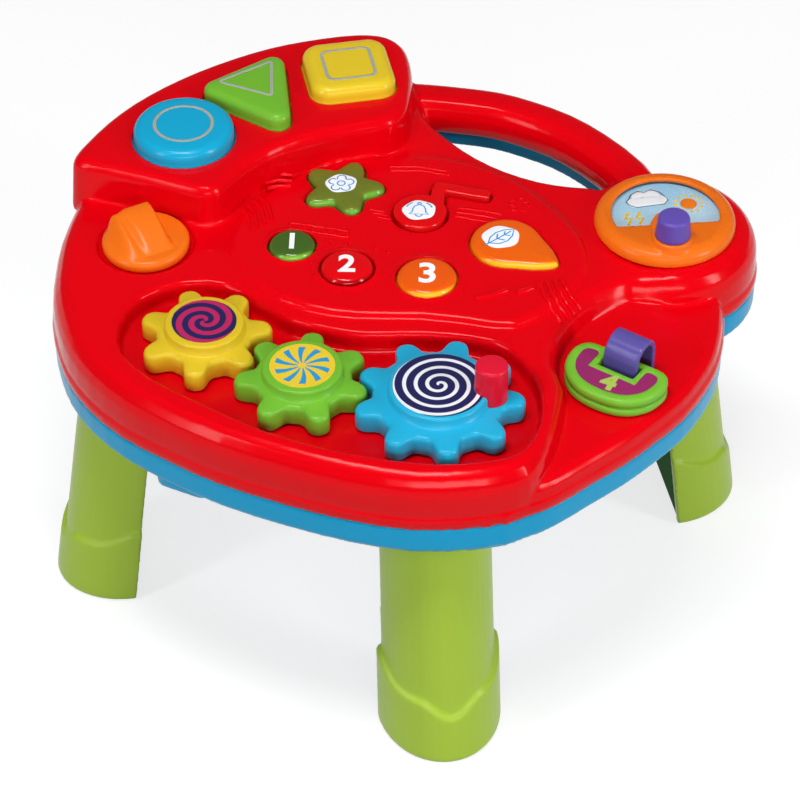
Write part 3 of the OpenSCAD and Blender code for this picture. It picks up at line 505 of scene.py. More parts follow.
def lofted(piece, outline, profile, crown=0.0, steps=4):
    """A closed cap: rings of the outline, each (inset, height), then a crowned top."""
    outline = [Vector(p) for p in outline]
    centre = sum(outline, Vector((0, 0))) / len(outline)
    rings = [[(p.x, p.y, z) for p in inwards(outline, d)] for d, z in profile]
    d, z = profile[-1]
    top = inwards(outline, d)
    for k in range(1, steps):
        s = 1 - k / steps
        rings.append([(centre.x + (p.x - centre.x) * s, centre.y + (p.y - centre.y) * s,
                       z + crown * (1 - s * s)) for p in top])
    return ringed(piece, rings, (*centre, profile[0][1]), (*centre, z + crown))


def flanged(foot, neck, wide=2.2, high=2):
    """Rings of the hidden flange at a cap's foot, up to the neck of its side wall."""
    return [(-wide, foot), (-wide, foot + high), (0, foot + high), (0, neck)]


def edge_radius(r, top, n=6, start=0.0):
    """Rings round a top edge of radius r, from the side wall to the flat top."""
    return [(start + r * (1 - math.cos(math.pi / 2 * i / n)),
             top - r + r * math.sin(math.pi / 2 * i / n)) for i in range(n + 1)]


def circle(cx, cy, r, n=96):
    return [(cx + r * math.cos(2 * math.pi * i / n), cy + r * math.sin(2 * math.pi * i / n))
            for i in range(n)]


def box(x0, y0, x1, y1):
    return [(x0, y0), (x1, y0), (x1, y1), (x0, y1)]


def rounded(corners, r, k=10):
    """A polygon with its corners rounded outwards by r."""
    made, m = [], len(corners)
    for i in range(m):
        a, b, c = (Vector(corners[j % m]) for j in (i - 1, i, i + 1))
        t0 = math.atan2(b.y - a.y, b.x - a.x) - math.pi / 2
        t1 = math.atan2(c.y - b.y, c.x - b.x) - math.pi / 2
        turn = (t1 - t0) % (2 * math.pi)
        made += [(b.x + r * math.cos(t0 + turn * j / k), b.y + r * math.sin(t0 + turn * j / k))
                 for j in range(k + 1)]
        out = Vector((math.cos(t1), math.sin(t1))) * r
        made += [tuple(b + out + (c - b) * q / 6) for q in range(1, 6)]
    return made


silver_ink = plastic("silver_ring_ink", paint(165, 170, 158), gloss=0.36, cloud=0.2, peel=0.02)
cap_top = 257.7
for name, slot, outline, line, colour, radius in (
        ("circle", "button_blue", circle(-114, 110.7, 31), circle(-114, 110.7, 17.8),
         paint(20, 164, 206), 6),
        ("triangle", "button_green", rounded([(-88, 147), (-55, 114), (-50, 165)], 8),
         rounded([(-84, 149.5), (-57, 131), (-52, 163)], 1.2), paint(114, 180, 50), 5),
        ("square", "button_yellow", rounded(box(-18, 139, 12, 169), 12),
         rounded(box(-14, 142.5, 7.5, 164), 4.5), paint(226, 195, 42), 6)):
    cap = lofted(name + "_cap", outline, flanged(242.7, 249) + edge_radius(radius, cap_top - 0.5),
                 crown=0.4)
    finish_piece(cap, plastic(name + "_cap_plastic", colour, gloss=0.24, cloud=0.12),
                 name + "_key", slot, name + "_button")
    mark = drawn(name + "_line", [(line, True)], cap_top - 0.16, 2.1, 0.5, silver_ink)
    finish_piece(mark, None, name + "_key", slot)


# ---- The panel buttons ----------------------------------------------------------
# Six soft-edged keys in the oval panel: three round ones, a star, a note and a drop.
# Their colour is the plastic's own with painted light on it: a painted highlight on
# the rounded edges and a painted glow on the sides facing the front; on the red keys
# the edges are darker, a painted shade.
def ramp(tree, value, least, most, full=1.0, kind="LINEAR"):
    """From 0 at the least value to full at the most."""
    return node(tree, "ShaderNodeMapRange", {"interpolation_type": kind}, {
        "Value": value, "From Min": least, "From Max": most, "To Max": full})


def tint_with_painted_light(name, colour, edge, glow, lift=0.5):
    """Coloured plastic with painted light: its own colour on the flat top, the edge colour painted
    where it bends away, the glow colour where it faces the front; lighter colours paint highlight and
    glow, darker ones paint shade.
    """
    mat, tree = new_tree(name)
    spot = node(tree, "ShaderNodeTexCoord", out=3)
    up = node(tree, "ShaderNodeSeparateXYZ", values=[spot.sibling("Normal")], out=2)
    # Painted glow: faces turned to the front (-y) take the glow colour.
    front = ramp(tree, up.sibling("Y"), -0.42, -0.8, full=0.8, kind="SMOOTHSTEP")
    # Painted highlight: faces bending away from the top take the edge colour, with a little random
    # tone.
    rim = ramp(tree, up, 0.97, 0.25, kind="SMOOTHSTEP")
    tone = blend(tree, rim * lift + noise(tree, spot, 45, 2) * 0.12, colour, edge)
    tone = blend(tree, front, tone, glow)
    rub = noise(tree, spot, 160, 3)
    return surfaced(mat, {"Base Color": tone, "Roughness": rub * 0.08 + 0.1,
                          "Normal": bumps(tree, 0.04, rub), "Specular IOR Level": 0.3,
                          "Coat Weight": 0.1, "Coat Roughness": 0.05})


def star(cx, cy, r, wave, turn, n=120):
    return [(cx + (r + wave * math.cos(5 * (a + turn))) * math.cos(a),
             cy + (r + wave * math.cos(5 * (a + turn))) * math.sin(a))
            for a in (2 * math.pi * i / n for i in range(n))]


def spline(points, n=10):
    """A closed smooth curve through the points, with n steps between two of them."""
    made, m = [], len(points)
    for i in range(m):
        a, b, c, d = (Vector(points[j % m]) for j in (i - 1, i, i + 1, i + 2))
        for t in (j / n for j in range(n)):
            p = 0.5 * (2 * b + (c - a) * t + (2 * a - 5 * b + 4 * c - d) * t * t
                       + (3 * b - a - 3 * c + d) * t ** 3)
            made.append((p.x, p.y))
    return made


drop_x, drop_y, drop_r = 64.3, -3.5, 21.5
drop_turn = math.degrees(math.atan2(-25.1, 24.7))
drop = spline([(drop_x + drop_r * q * math.cos(math.radians(drop_turn + a)),
                drop_y + drop_r * q * math.sin(math.radians(drop_turn + a)))
               for a, q in ((0, 1.72), (16, 1.42), (40, 1.08), (75, 1), (110, 1), (145, 1),
                            (180, 1), (215, 1), (250, 1), (285, 1), (320, 1.08), (344, 1.42))])
key_top = 229.6
white_ink = plastic("white_key_ink", (0.9, 0.91, 0.92, 1), gloss=0.4, cloud=0.06, peel=0.02)
blue_ink = plastic("blue_key_ink", paint(20, 150, 220), gloss=0.4, cloud=0.1, peel=0.02)
# deep is each key's own colour; edge and glow are painted light, darker on key two as painted shade.
for name, outline, radius, body, slot, stands_for, deep, edge, glow in (
        ("one", circle(-62.4, 18.7, 14), 4.6, "key_one", "key_olive", "button_one",
         paint(62, 94, 32), paint(88, 132, 42), paint(140, 200, 66)),
        ("two", circle(-33.8, -8.7, 16), 4.6, "key_two", "key_red", "button_two",
         paint(224, 0, 10), paint(160, 0, 4), paint(150, 0, 4)),
        ("three", circle(11.2, -26.6, 18), 4.6, "key_three", "key_orange", "button_three",
         paint(232, 84, 10), paint(240, 130, 16), paint(252, 206, 44)),
        ("star", star(-22.6, 68, 21.5, 4.5, math.radians(13)), 4.2, "star_key", "key_olive",
         "star_button", paint(108, 116, 36), paint(74, 132, 42), paint(110, 184, 60)),
        ("drop", drop, 4.2, "drop_key", "key_orange", "drop_button",
         paint(234, 92, 8), paint(240, 135, 14), paint(252, 210, 44))):
    key = lofted(name + "_key", outline,
                 flanged(220.7, 224) + edge_radius(radius, key_top - 0.4, n=8), crown=0.5)
    finish_piece(key, tint_with_painted_light(name + "_key_tint_and_painted_light", deep, edge, glow), body, slot, stands_for)


def figure(piece, text, size, bold, x, y, z, turn, mat):
    """A printed numeral with its middle at x, y, in millimetres, turned in plan."""
    font = bpy.data.curves.new(piece, "FONT")
    font.body, font.size, font.extrude, font.offset = text, size / 1000, 0.00012, bold / 1000
    font.align_x, font.align_y = "CENTER", "CENTER"
    font.resolution_u = 6
    made = added(piece, font)
    mesh = evaluated(made)
    scene.collection.objects.unlink(made)
    bpy.data.objects.remove(made)
    xs, ys = ([v.co[k] for v in mesh.vertices] for k in (0, 1))
    mid = Matrix.Translation((-(min(xs) + max(xs)) / 2, -(min(ys) + max(ys)) / 2, 0))
    mesh.transform(Matrix.Translation(metres(x, y, z))
                   @ Matrix.Rotation(math.radians(turn), 4, "Z") @ mid)
    facing_out(mesh)
    mesh.materials.clear()
    mesh.materials.append(mat)
    return added(piece, mesh)


for name, text, x, y, size, slot in (("one", "1", -62.4, 19.0, 20, "key_olive"),
                                     ("two", "2", -33.8, -8.2, 21.5, "key_red"),
                                     ("three", "3", 11.4, -26.0, 25, "key_orange")):
    digit = figure("numeral_" + name, text, size, 0.55, x, y, key_top + 0.16, -12, white_ink)
    finish_piece(digit, None, "key_" + name, slot)


# ---- The note button ------------------------------------------------------------
# The note's head and bent stem are one red key. Its groove in the panel is dark,
# and the head alone bears a print.
note_top = 229.5
note = moulded("note_key_cap", "note_button", voxel=0.0006, rounds=9)
# The darker edge colour is painted shade on the note's rim, and the front colour is painted light on
# its sides facing the front.
finish_piece(note, tint_with_painted_light("note_key_tint_and_painted_light", paint(224, 0, 8), paint(150, 0, 4),
                          paint(214, 18, 20), lift=0.6),
             "note_key", "key_red", "note_button")


# ---- The prints on the star, the note and the drop ------------------------------
# Each is a white patch with a pale blue line drawing on it: a flower, a bell and a
# leaf, printed on the key's flat top.
def patch(piece, cx, cy, r, z, wobble):
    """A thin disc, a little wider than deep, with five soft waves in its edge."""
    outline = [(cx + (r + wobble * math.sin(5 * a)) * math.cos(a),
                cy + (r * 0.92 + wobble * math.sin(5 * a)) * math.sin(a))
               for a in (2 * math.pi * i / 60 for i in range(60))]
    return lofted(piece, outline, [(0.3, z), (0, z + 0.1), (0, z + 0.16), (0.3, z + 0.22)],
                  steps=2)


def placed(paths, cx, cy, scale=1, turn=0):
    """Line drawings moved to cx, cy, in millimetres, scaled and turned."""
    c, s = math.cos(math.radians(turn)) * scale, math.sin(math.radians(turn)) * scale
    return [([(cx + x * c - y * s, cy + x * s + y * c) for x, y in points], closed)
            for points, closed in paths]


flower = [(circle(0, 0, 2.1, 20), True)]
flower += opened(*(arc(4.7 * math.cos(math.radians(a)), 4.7 * math.sin(math.radians(a)), 2.4,
                       a - 118, a + 118) for a in range(18, 378, 72)))
bell = [([(-5, -3.4), (-3.6, -1.6), (-3.2, 1.2), (-2.3, 3.4), (0, 4.5), (2.3, 3.4), (3.2, 1.2),
          (3.6, -1.6), (5, -3.4)], True), (circle(0, 5.4, 0.9, 10), True)]
bell += opened(arc(0, -3.6, 1.7, 180, 360, 8), arc(0, 0, 7.0, 20, 60, 6), arc(0, 0, 7.0, 120, 160, 6))
leaf = opened([(-5.6, -4.6), (-4.9, -0.6), (-2.4, 3.0), (1.4, 5.2), (5.8, 5.6), (5.2, 1.2),
               (3.2, -2.6), (-0.6, -4.9), (-5.6, -4.6)], [(-7, -6.2), (-1, -0.8), (4.4, 4.4)],
              [(-1.8, -1.6), (-1.6, 2.0)], [(1.4, 1.4), (1.8, 4.0)],
              [(-1.4, -1.4), (1.8, -2.2)], [(1.6, 1.6), (4.2, 1.2)])
for name, drawing, cx, cy, size, z, slot in (
        ("star", flower, -23.4, 68.6, 1.12, key_top, "key_olive"),
        ("note", bell, 18.4, 33.6, 1.18, note_top, "key_red"),
        ("drop", leaf, 61.6, -1.4, 1.32, key_top, "key_orange")):
    base = patch(name + "_print_patch", cx, cy, 8.6 * size, z - 0.06, wobble=0.35)
    finish_piece(base, white_ink, name + "_key", slot)
    lines = drawn(name + "_print_lines", placed(drawing, cx, cy, size, -14), z + 0.15, 0.9, 0.24,
                  blue_ink)
    finish_piece(lines, None, name + "_key", slot)


# ---- The twist knob -------------------------------------------------------------
# An orange knob that turns through a third of a turn on a grey shaft: a round base
# in a well, and across it a grip that is tall and broad behind and runs down in front.
knob_x, knob_y, knob_r = -147.9, 43.1, 26.5
knob_base, knob_top, knob_edge = 219.3, 227.0, 3.4
grip_turn, grip_height, knob_rings = math.radians(-18), 12.4, 40


def soft_step(value):
    value = min(1.0, max(0.0, value))
    return value * value * (3 - 2 * value)


def grip(x, y):
    """The grip's height over the base, at a place counted from the knob's middle."""
    across = x * math.cos(grip_turn) - y * math.sin(grip_turn) - 2.6
    back = x * math.sin(grip_turn) + y * math.cos(grip_turn)
    along = min(max((13.0 - back) / 31.0, 0.0), 1.0)
    ridge = grip_height * (1 - along ** 1.8) * soft_step((24.5 - back) / 9.0)
    half = 8.6 - 1.8 * along
    right = soft_step((half + 2.8 - across) / 4.4)
    groove = (0.16 + 0.3 * along) * math.exp(-((across + half + 4.6) / 2.7) ** 2)
    flank = soft_step((across + 26.0) / 13.0)
    return max(0.0, ridge * right * (1 - groove) * flank)


def knob_ring(r, z):
    """A ring of the knob, lifted by the grip, which fades out towards the edge."""
    fade = soft_step((knob_r - 1.0 - r) / 3.6)
    return [(knob_x + x, knob_y + y, z + grip(x, y) * fade) for x, y in circle(0, 0, r, 120)]


rings = [knob_ring(knob_r - 0.6, knob_base), knob_ring(knob_r, knob_base + 0.6)]
rings += [knob_ring(knob_r - d, z) for d, z in edge_radius(knob_edge, knob_top, n=7)]
rings += [knob_ring((knob_r - knob_edge) * (1 - k / knob_rings), knob_top)
          for k in range(1, knob_rings)]
knob = ringed("twist_grip", rings, (knob_x, knob_y, knob_base),
              (knob_x, knob_y, knob_top + grip(0, 0)))
knob = baked(eased(knob, 0.5, 3))
finish_piece(knob, plastic("orange_knob_plastic", paint(238, 112, 20), gloss=0.3, cloud=0.14),
             "twist", "knob_orange", "twist_knob")


# ---- The gears ------------------------------------------------------------------
# Three meshing gears turn on fixed axles in the trough: nine teeth on the blue one,
# seven on the green and the yellow. Each is one moulding with a raised round hub.
def curved(tree, value, points, straight=False):
    """The height at value of a curve through points, or of a line from point to point."""
    made = node(tree, "ShaderNodeFloatCurve", values={"Value": value})
    mapping = made.out.node.mapping
    curve = mapping.curves[0]
    while len(curve.points) < len(points):
        curve.points.new(0.5, 0.5)
    for point, place in zip(curve.points, points):
        point.location = place
        if straight:
            point.handle_type = "VECTOR"
    mapping.update()
    return made


def gear_tree():
    """Geometry nodes: a sheet of rings is wrapped round an axle and waved into teeth."""
    tree, (teeth, pitch, hub, phase, bore, centre, coat) = begun_tree("toothed_wheel", {
        "Teeth": "Int", "Pitch": "Float", "Hub": "Float", "Phase": "Float", "Bore": "Float",
        "Centre": "Vector", "Material": "Material"})
    # Each ring: where its radius comes from, or its share of the hub's; its inset and
    # its height in millimetres.
    rows = [
        (0, 0, 12.5), ("bore", 0, 12.5), ("bore", 0, 0), ("teeth", 0.7, 0), ("teeth", 0, 0.7),
        ("teeth", 0, 9.6), ("teeth", 0.25, 10.9), ("teeth", 0.9, 12.0), ("teeth", 1.9, 12.7),
        ("teeth", 3.2, 13.0), (1.03, 0, 13.0), (1.0, 0, 13.4), (0.995, 0, 18.4), (0.98, 0, 19.3),
        (0.95, 0, 19.85), (0.91, 0, 20.0), (0, 0, 20.0)]
    sheet = node(tree, "GeometryNodeMeshGrid", values={
        "Size X": 1, "Size Y": 1, "Vertices X": teeth * 30 + 1, "Vertices Y": len(rows)})
    split = node(tree, "ShaderNodeSeparateXYZ", values=[node(tree, "GeometryNodeInputPosition")])
    across, down = split + 0.5, split.sibling("Y") + 0.5

    def table(values):
        """The rows' values, each read at its own ring of the sheet."""
        return curved(tree, down, [(k / (len(rows) - 1), value) for k, value in enumerate(values)],
                      straight=True)

    widest, deepest, tallest = 1.25, 10, 25  # what 1 stands for in the last three tables
    on_teeth = table([1.0 if kind == "teeth" else 0.0 for kind, d, z in rows])
    on_bore = table([1.0 if kind == "bore" else 0.0 for kind, d, z in rows])
    share = table([0.0 if isinstance(kind, str) else kind / widest for kind, d, z in rows])
    inset = table([d / deepest for kind, d, z in rows])
    height = table([z / tallest for kind, d, z in rows])
    away = ((across * teeth).math("FRACT") - 0.5).math("ABSOLUTE") * 2
    wave = curved(tree, away, ((0, 1), (0.2, 0.93), (0.33, 0.78), (0.43, 0.53), (0.56, 0.2),
                               (0.72, 0.035), (1, 0)))
    tooth_height, root_depth = 0.011, 0.0065
    edge = pitch + wave * tooth_height - root_depth
    radius = (edge - inset * (deepest / 1000)) * on_teeth + share * widest * hub + on_bore * bore
    angle = across * (2 * math.pi) + phase + math.pi / teeth
    spot = node(tree, "ShaderNodeCombineXYZ", values=[
        radius * angle.math("COSINE"), radius * angle.math("SINE"), height * (tallest / 1000)])
    spot = node(tree, "ShaderNodeVectorMath", {"operation": "ADD"}, [spot, centre])
    shaped = node(tree, "GeometryNodeSetPosition", values={"Geometry": sheet, "Position": spot})
    joined = node(tree, "GeometryNodeMergeByDistance", values={
        "Geometry": shaped, "Distance": 0.00001})
    return ended_tree(tree, joined, coat)


toothed_wheel = gear_tree()
gear_z, gear_bore = 210.3, 0.005
gear_places = {"blue": (-1.762, -126.263), "green": (-75.4, -95.0), "yellow": (-124.897, -45.503)}
for name, teeth, pitch, hub, phase, colour in (
        ("blue", 9, 45, 29.5, -95.6, paint(34, 168, 208)),
        ("green", 7, 35, 23.5, -32.6, paint(112, 180, 50)),
        ("yellow", 7, 35, 23.5, -5.4, paint(216, 186, 38))):
    start = added(name + "_wheel", bpy.data.meshes.new(name + "_wheel"))
    wheel = grown(start, toothed_wheel, Teeth=teeth, Pitch=pitch / 1000, Hub=hub / 1000,
                  Phase=math.radians(phase - 180 / teeth) + math.pi, Bore=gear_bore,
                  Centre=metres(*gear_places[name], gear_z),
                  Material=plastic(name + "_gear_plastic", colour, gloss=0.3, cloud=0.14))
    facing_out(wheel.data, slivers=True)
    shade(wheel.data)
    finish_piece(wheel, None, name + "_gear", "button_" + name, "gear_" + name)


# ---- The gear labels ------------------------------------------------------------
# Thin printed discs glued on the hubs: a white spiral on navy, a pinwheel of blue
# rays on yellow, and a magenta and navy double spiral.
def label(name, centre, paper, ink, kind, turns, pitch, share):
    """A print made of the angle and the distance from the disc's centre."""
    mat, tree = new_tree(name)
    spot = node(tree, "ShaderNodeTexCoord", out=3)
    local = node(tree, "ShaderNodeMapping", values={
        "Vector": spot, "Location": metres(-centre[0], -centre[1], 0)})
    x = node(tree, "ShaderNodeSeparateXYZ", values=[local])
    y = x.sibling("Y")
    r = (x * x + y * y).math("SQRT") * 1000
    angle = y.math("ARCTAN2", x) / (2 * math.pi)
    if kind == "spiral":
        line = (r / pitch - angle * turns).math("FRACT") - 0.5
        far, edge, soft = line.math("ABSOLUTE") * pitch, share * pitch / 2, 0.09
    else:
        line = (angle * turns + r * r / pitch).math("FRACT") - 0.5
        far, edge, soft = line.math("ABSOLUTE"), share / 2, 0.012
    mask = ramp(tree, far, edge + soft, edge - soft)
    if kind == "rays":
        mask = mask * (r > 2.4) * (r < 16.0)
    grain = noise(tree, spot, 500, 3)
    tone = blend(tree, mask, paper, ink)
    tone = blend(tree, grain * 0.12, tone, (0.02, 0.02, 0.03, 1))
    return surfaced(mat, {"Base Color": tone, "Roughness": grain * 0.15 + 0.34,
                          "Normal": bumps(tree, 0.1, grain + mask, depth=0.0001)})


def coat_node(name, mat):
    """The CAD solid stays as it is and takes this material in every slot."""
    mesh = nodes[name].data
    if not mesh.materials:
        mesh.materials.append(mat)
    for k in range(len(mesh.materials)):
        mesh.materials[k] = mat


navy, magenta = paint(26, 24, 84), paint(186, 28, 92)
for name, paper, ink, kind, turns, pitch, share in (
        ("blue", navy, (0.86, 0.87, 0.9, 1), "spiral", -1, 6.6, 0.34),
        ("green", paint(234, 202, 44), paint(40, 150, 205), "rays", 10, 900, 0.42),
        ("yellow", magenta, navy, "spiral", 2, 7.4, 0.5)):
    coat_node(name + "_gear_label", label(name + "_label_print", gear_places[name], paper, ink,
                                          kind, turns, pitch, share))


# ---- The crank post -------------------------------------------------------------
# A crimson peg, a little narrower at the top, stands in the blue gear as its handle.
post = lofted("crank_peg", circle(26.8, -133.65, 9.8, 72),
              [(0.4, 222.7), (0, 223.1), (0.05, 224)] + edge_radius(1.9, 247.6, start=0.4),
              crown=0.2)
finish_piece(post, plastic("crimson_peg_plastic", paint(218, 22, 50), gloss=0.3),
             "blue_gear", "post_crimson", "crank_post")


# ---- The dial -------------------------------------------------------------------
# A picture disc sits fixed on the lobe. The orange cover turns round it on a plain
# grey ring, so that its window passes over the sun, the cloud and the lightning.
dial_x, dial_y, dial_turn = 164.3, 1.1, math.radians(-6)
cover = moulded("dial_turning_cover", "dial_cover", voxel=0.0007, rounds=6)
finish_piece(cover, plastic("orange_dial_plastic", paint(236, 112, 20), gloss=0.28, cloud=0.12),
             "dial", "knob_orange", "dial_cover")
peg_reach = 27
peg_outline = circle(dial_x + peg_reach * math.sin(dial_turn),
                     dial_y - peg_reach * math.cos(dial_turn), 10.9, 72)
peg = lofted("dial_peg", peg_outline,
             [(0.3, 235.5), (0, 236.0), (0.2, 238)] + edge_radius(2.2, 249.6, start=1.2), crown=0.2)
finish_piece(peg, plastic("violet_peg_plastic", paint(98, 78, 172), gloss=0.3),
             "dial", "knob_violet", "dial_knob")

mat, tree = new_tree("sky_print")
spot = node(tree, "ShaderNodeTexCoord", out=3)
back = node(tree, "ShaderNodeSeparateXYZ", values=[spot], out=1)
sky = blend(tree, ramp(tree, back, -0.03, 0.035), paint(205, 228, 240), paint(120, 188, 222))
sky = blend(tree, noise(tree, spot, 60, 4) * 0.3, sky, paint(228, 240, 246))
coat_node("picture_disc", surfaced(mat, {
    "Base Color": sky, "Roughness": noise(tree, spot, 900, 2) * 0.1 + 0.22, "Coat Weight": 0.3}))

picture_z = 226.9
sun_ink = plastic("sun_ink", paint(236, 122, 24), gloss=0.3, peel=0.02)
ray_ink = plastic("ray_ink", paint(246, 200, 30), gloss=0.3, peel=0.02)
cloud_ink = plastic("cloud_ink", (0.82, 0.84, 0.87, 1), gloss=0.34, peel=0.02)
line_ink = plastic("cloud_line_ink", paint(70, 74, 84), gloss=0.34, peel=0.02)


def pictured(piece, outline, mat, rim, high):
    """A flat printed figure on the picture disc, from a sunk foot to a rim and a top."""
    foot = picture_z - 0.05
    print_piece = lofted(piece, outline, [(0.2, foot), (0, foot + rim), (0.2, foot + high)], steps=2)
    finish_piece(print_piece, mat, "table", "picture_blue")


sun_x, sun_y = dial_x + 17.5, dial_y + 10.5
pictured("sun_print", circle(sun_x, sun_y, 5.2, 40), sun_ink, rim=0.12, high=0.2)
rays = drawn("sun_rays", opened(*(
    [(sun_x + q * math.cos(a), sun_y + q * math.sin(a)) for q in (6.6, 7.8, 9.4)]
    for a in (math.pi * k / 6 for k in range(12)))), picture_z + 0.05, 1.5, 0.3, ray_ink)
finish_piece(rays, None, "table", "picture_blue")
cloud_x, cloud_y = dial_x + 5.5, dial_y + 9.5
for k, (x, y, r) in enumerate(((-20, 8, 4.6), (-15.5, 12.5, 5.4), (-8.5, 12.5, 5.6), (-4, 8, 4.4))):
    pictured("cloud_puff_%d" % k, circle(cloud_x + x, cloud_y + y, r, 36), cloud_ink,
             rim=0.12 + 0.02 * k, high=0.2 + 0.02 * k)
pictured("cloud_belly", rounded(box(cloud_x - 19, cloud_y + 6, cloud_x - 5, cloud_y + 10), 2.4),
         cloud_ink, rim=0.2, high=0.3)
curl = drawn("cloud_lines", placed(opened(
    [(-23.6, 6), (-25, 9.5), (-22.4, 12.8), (-20.6, 16), (-16, 18.6), (-11.8, 16.8), (-7.4, 18.8),
     (-2.6, 15.6), (-0.6, 11.4), (0.6, 7), (-2.4, 3.6), (-20, 3.4), (-23.6, 6)],
    arc(-14, 10, 2.4, 20, 200, 8), arc(-8, 9.4, 2.0, 0, 170, 8)), cloud_x, cloud_y),
    picture_z + 0.12, 0.7, 0.2, line_ink)
finish_piece(curl, None, "table", "picture_blue")
bolt = drawn("lightning_print", placed(opened(
    [(-20.5, 9), (-24.5, 3.4), (-20, 3.2), (-24, -3)],
    [(-13.5, 8), (-17.3, 2.4), (-13.2, 2.2), (-16.6, -3)]), dial_x, dial_y),
    picture_z + 0.08, 2.1, 0.3, ray_ink)
finish_piece(bolt, None, "table", "picture_blue")
coat_node("dial_track", plastic("grey_ring_plastic", paint(92, 94, 98), gloss=0.42))


# ---- The flip pages -------------------------------------------------------------
# Two thick green leaves swing on a violet arch that stands in the low corner. The
# upper one carries a purple field with a pale green numeral inside its round rim.
page_plastic = plastic("green_page_plastic", paint(118, 188, 52), gloss=0.3, cloud=0.14)
for side, body in (("upper", "top_page"), ("lower", "bottom_page")):
    page = moulded("page_leaf_" + side, "page_" + side, voxel=0.0006, rounds=8)
    finish_piece(page, page_plastic, body, "button_green", "page_" + side)
coat_node("page_upper_inlay", plastic("purple_field_plastic", paint(151, 40, 101), gloss=0.4,
                                      cloud=0.18, peel=0.1))
pale_green_ink = plastic("pale_green_ink", paint(168, 196, 84), gloss=0.4, peel=0.02)
four = figure("numeral_four", "4", 18, 0.8, 97.6, -128.4, 218.05, -38, pale_green_ink)
finish_piece(four, None, "top_page", "inlay_purple")
arch = moulded("page_arch_band", "page_arch", voxel=0.0006, rounds=5)
finish_piece(arch, plastic("violet_arch_plastic", paint(92, 82, 158), gloss=0.26),
             "table", "knob_violet", "page_arch")


# ---- The screws -----------------------------------------------------------------
# Steel pan-head screws with a cross recess hold the shell on the tray from below,
# and a shorter one holds the battery door. They are one mesh of repeated screws.
def screw_tree():
    """Geometry nodes: a screw with a cross recess stands head down on every point."""
    tree, (points, head, shank, length, coat) = begun_tree("cross_screw", {
        "Geometry": "Geometry", "Head": "Float", "Shank": "Float", "Length": "Float",
        "Material": "Material"})
    head_high, arm_long, arm_wide, recess = 0.0018, 0.0032, 0.0008, 0.0022
    top = node(tree, "GeometryNodeMeshCylinder", values={
        "Vertices": 24, "Side Segments": 1, "Radius": head, "Depth": head_high})
    cut = node(tree, "GeometryNodeMeshBoolean", {"operation": "DIFFERENCE"}, [top])
    for size in ((arm_long, arm_wide, recess), (arm_wide, arm_long, recess)):
        arm = node(tree, "GeometryNodeTransform", values={
            "Geometry": node(tree, "GeometryNodeMeshCube", values={"Size": size}),
            "Translation": (0, 0, -recess / 2)})
        tree.links.new(arm.out, cut.out.node.inputs[1])
    cap = node(tree, "GeometryNodeTransform", values={
        "Geometry": cut, "Translation": (0, 0, -head_high / 2)})
    stem = node(tree, "GeometryNodeMeshCylinder", values={
        "Vertices": 16, "Radius": shank, "Depth": length})
    lift = node(tree, "ShaderNodeCombineXYZ", values={"Z": length / 2})
    stem = node(tree, "GeometryNodeTransform", values={"Geometry": stem, "Translation": lift})
    both = node(tree, "GeometryNodeJoinGeometry", values=[cap])
    tree.links.new(stem.out, both.out.node.inputs[0])
    stand = node(tree, "GeometryNodeInstanceOnPoints", values={
        "Points": points, "Instance": both})
    return ended_tree(tree, stand, coat)


def metal(name, colour, rough):
    """Bare metal with fine scratches in its gloss."""
    mat, tree = new_tree(name)
    spot = node(tree, "ShaderNodeTexCoord", out=3)
    drag = node(tree, "ShaderNodeMapping", values={"Vector": spot, "Scale": (900, 120, 900)})
    mark = noise(tree, drag, 1, 4)
    return surfaced(mat, {"Base Color": blend(tree, mark * 0.5, colour, darker(colour, 0.7)),
                          "Metallic": 1.0, "Roughness": mark * 0.2 + rough})


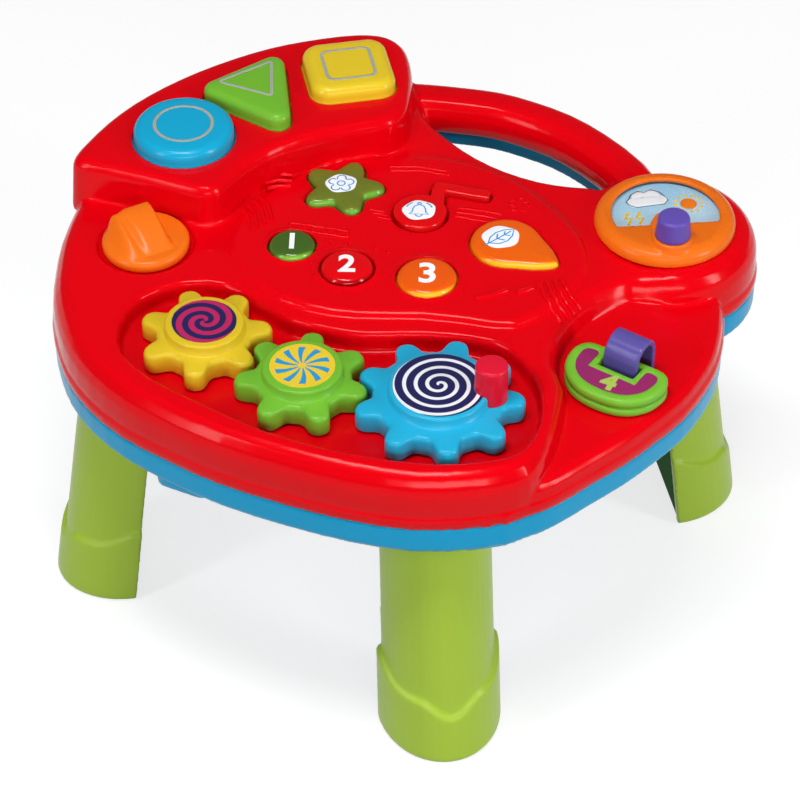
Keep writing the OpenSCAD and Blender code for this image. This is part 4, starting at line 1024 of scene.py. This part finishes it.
screw_steel = metal("zinc_screw_steel", (0.6, 0.6, 0.62, 1), 0.25)
cross_screw = screw_tree()
shell_screws = [(x, y, 169.5) for x, y in (
    (-174, 70), (-166, -80), (-90, -149), (62, -166), (150, -98), (176, 45), (28, 184), (-122, 159))]
for name, places, length, stands_for in (
        ("shell_screws", shell_screws, 0.021, "housing_screws"),
        ("door_screw", [(-20, 54.05, 166.5)], 0.006, "battery_door_screw")):
    mesh = bpy.data.meshes.new(name)
    mesh.from_pydata([metres(*place) for place in places], [], [])
    screws = grown(added(name, mesh), cross_screw, Head=0.003, Shank=0.0015, Length=length,
                   Material=screw_steel)
    facing_out(screws.data, slivers=True)
    shade(screws.data, smooth=False)
    finish_piece(screws, None, "table", "screw_steel", stands_for)


# ---- The battery box and the power switch ---------------------------------------
# A flat blue door with ribs for the thumb closes three small cells between spring
# plates. Beside it a dark slider, ribbed across, switches the table on and off.
coat_node("battery_door", blue_plastic)
ribs = drawn("door_ribs", opened(*([(-30, 4 + 3 * k), (-10, 4 + 3 * k)] for k in range(4))),
             166.45, 1.2, 0.9, blue_plastic)
finish_piece(ribs, None, "table", "tray_blue")
dark = plastic("dark_grey_plastic", paint(58, 58, 62), gloss=0.45, peel=0.12)
switch = moulded("switch_slider", "power_switch", voxel=0.0004, rounds=2)
middle = Matrix.Translation(sum((Vector(c) for c in switch.bound_box), Vector()) / 8)
slimmer = Matrix.Diagonal((0.92, 0.96, 1, 1))
switch.data.transform(middle @ slimmer @ middle.inverted())
finish_piece(switch, dark, "switch", "plain_grey", "power_switch")
grips = drawn("switch_ribs", opened(*([(70 + 1.8 * k, 30), (70 + 1.8 * k, 34)]
                                      for k in range(-1, 2))), 165.5, 0.7, 0.6, dark)
finish_piece(grips, None, "switch", "plain_grey")
coat_node("batteries", metal("cell_jacket", (0.12, 0.12, 0.14, 1), 0.35))
coat_node("battery_contacts", metal("spring_plate_steel", (0.6, 0.6, 0.58, 1), 0.3))


# ---- The works inside -----------------------------------------------------------
# A green circuit board on four posts, rubber switch pads under the keys, a paper
# cone loudspeaker over the grille, and the grey shafts that the gears and knob need.
coat_node("circuit_board", plastic("board_lacquer", paint(22, 96, 52), gloss=0.3, cloud=0.4, peel=0.1))
coat_node("speaker", plastic("speaker_cone_paper", paint(44, 44, 46), gloss=0.6, peel=0.4))
coat_node("switch_pads", plastic("rubber_pad", paint(140, 140, 142), gloss=0.6, peel=0.2))
coat_node("gear_axles", plastic("grey_axle_plastic", paint(96, 98, 102), gloss=0.4))
coat_node("knob_shaft", plastic("grey_shaft_plastic", paint(96, 98, 102), gloss=0.42))
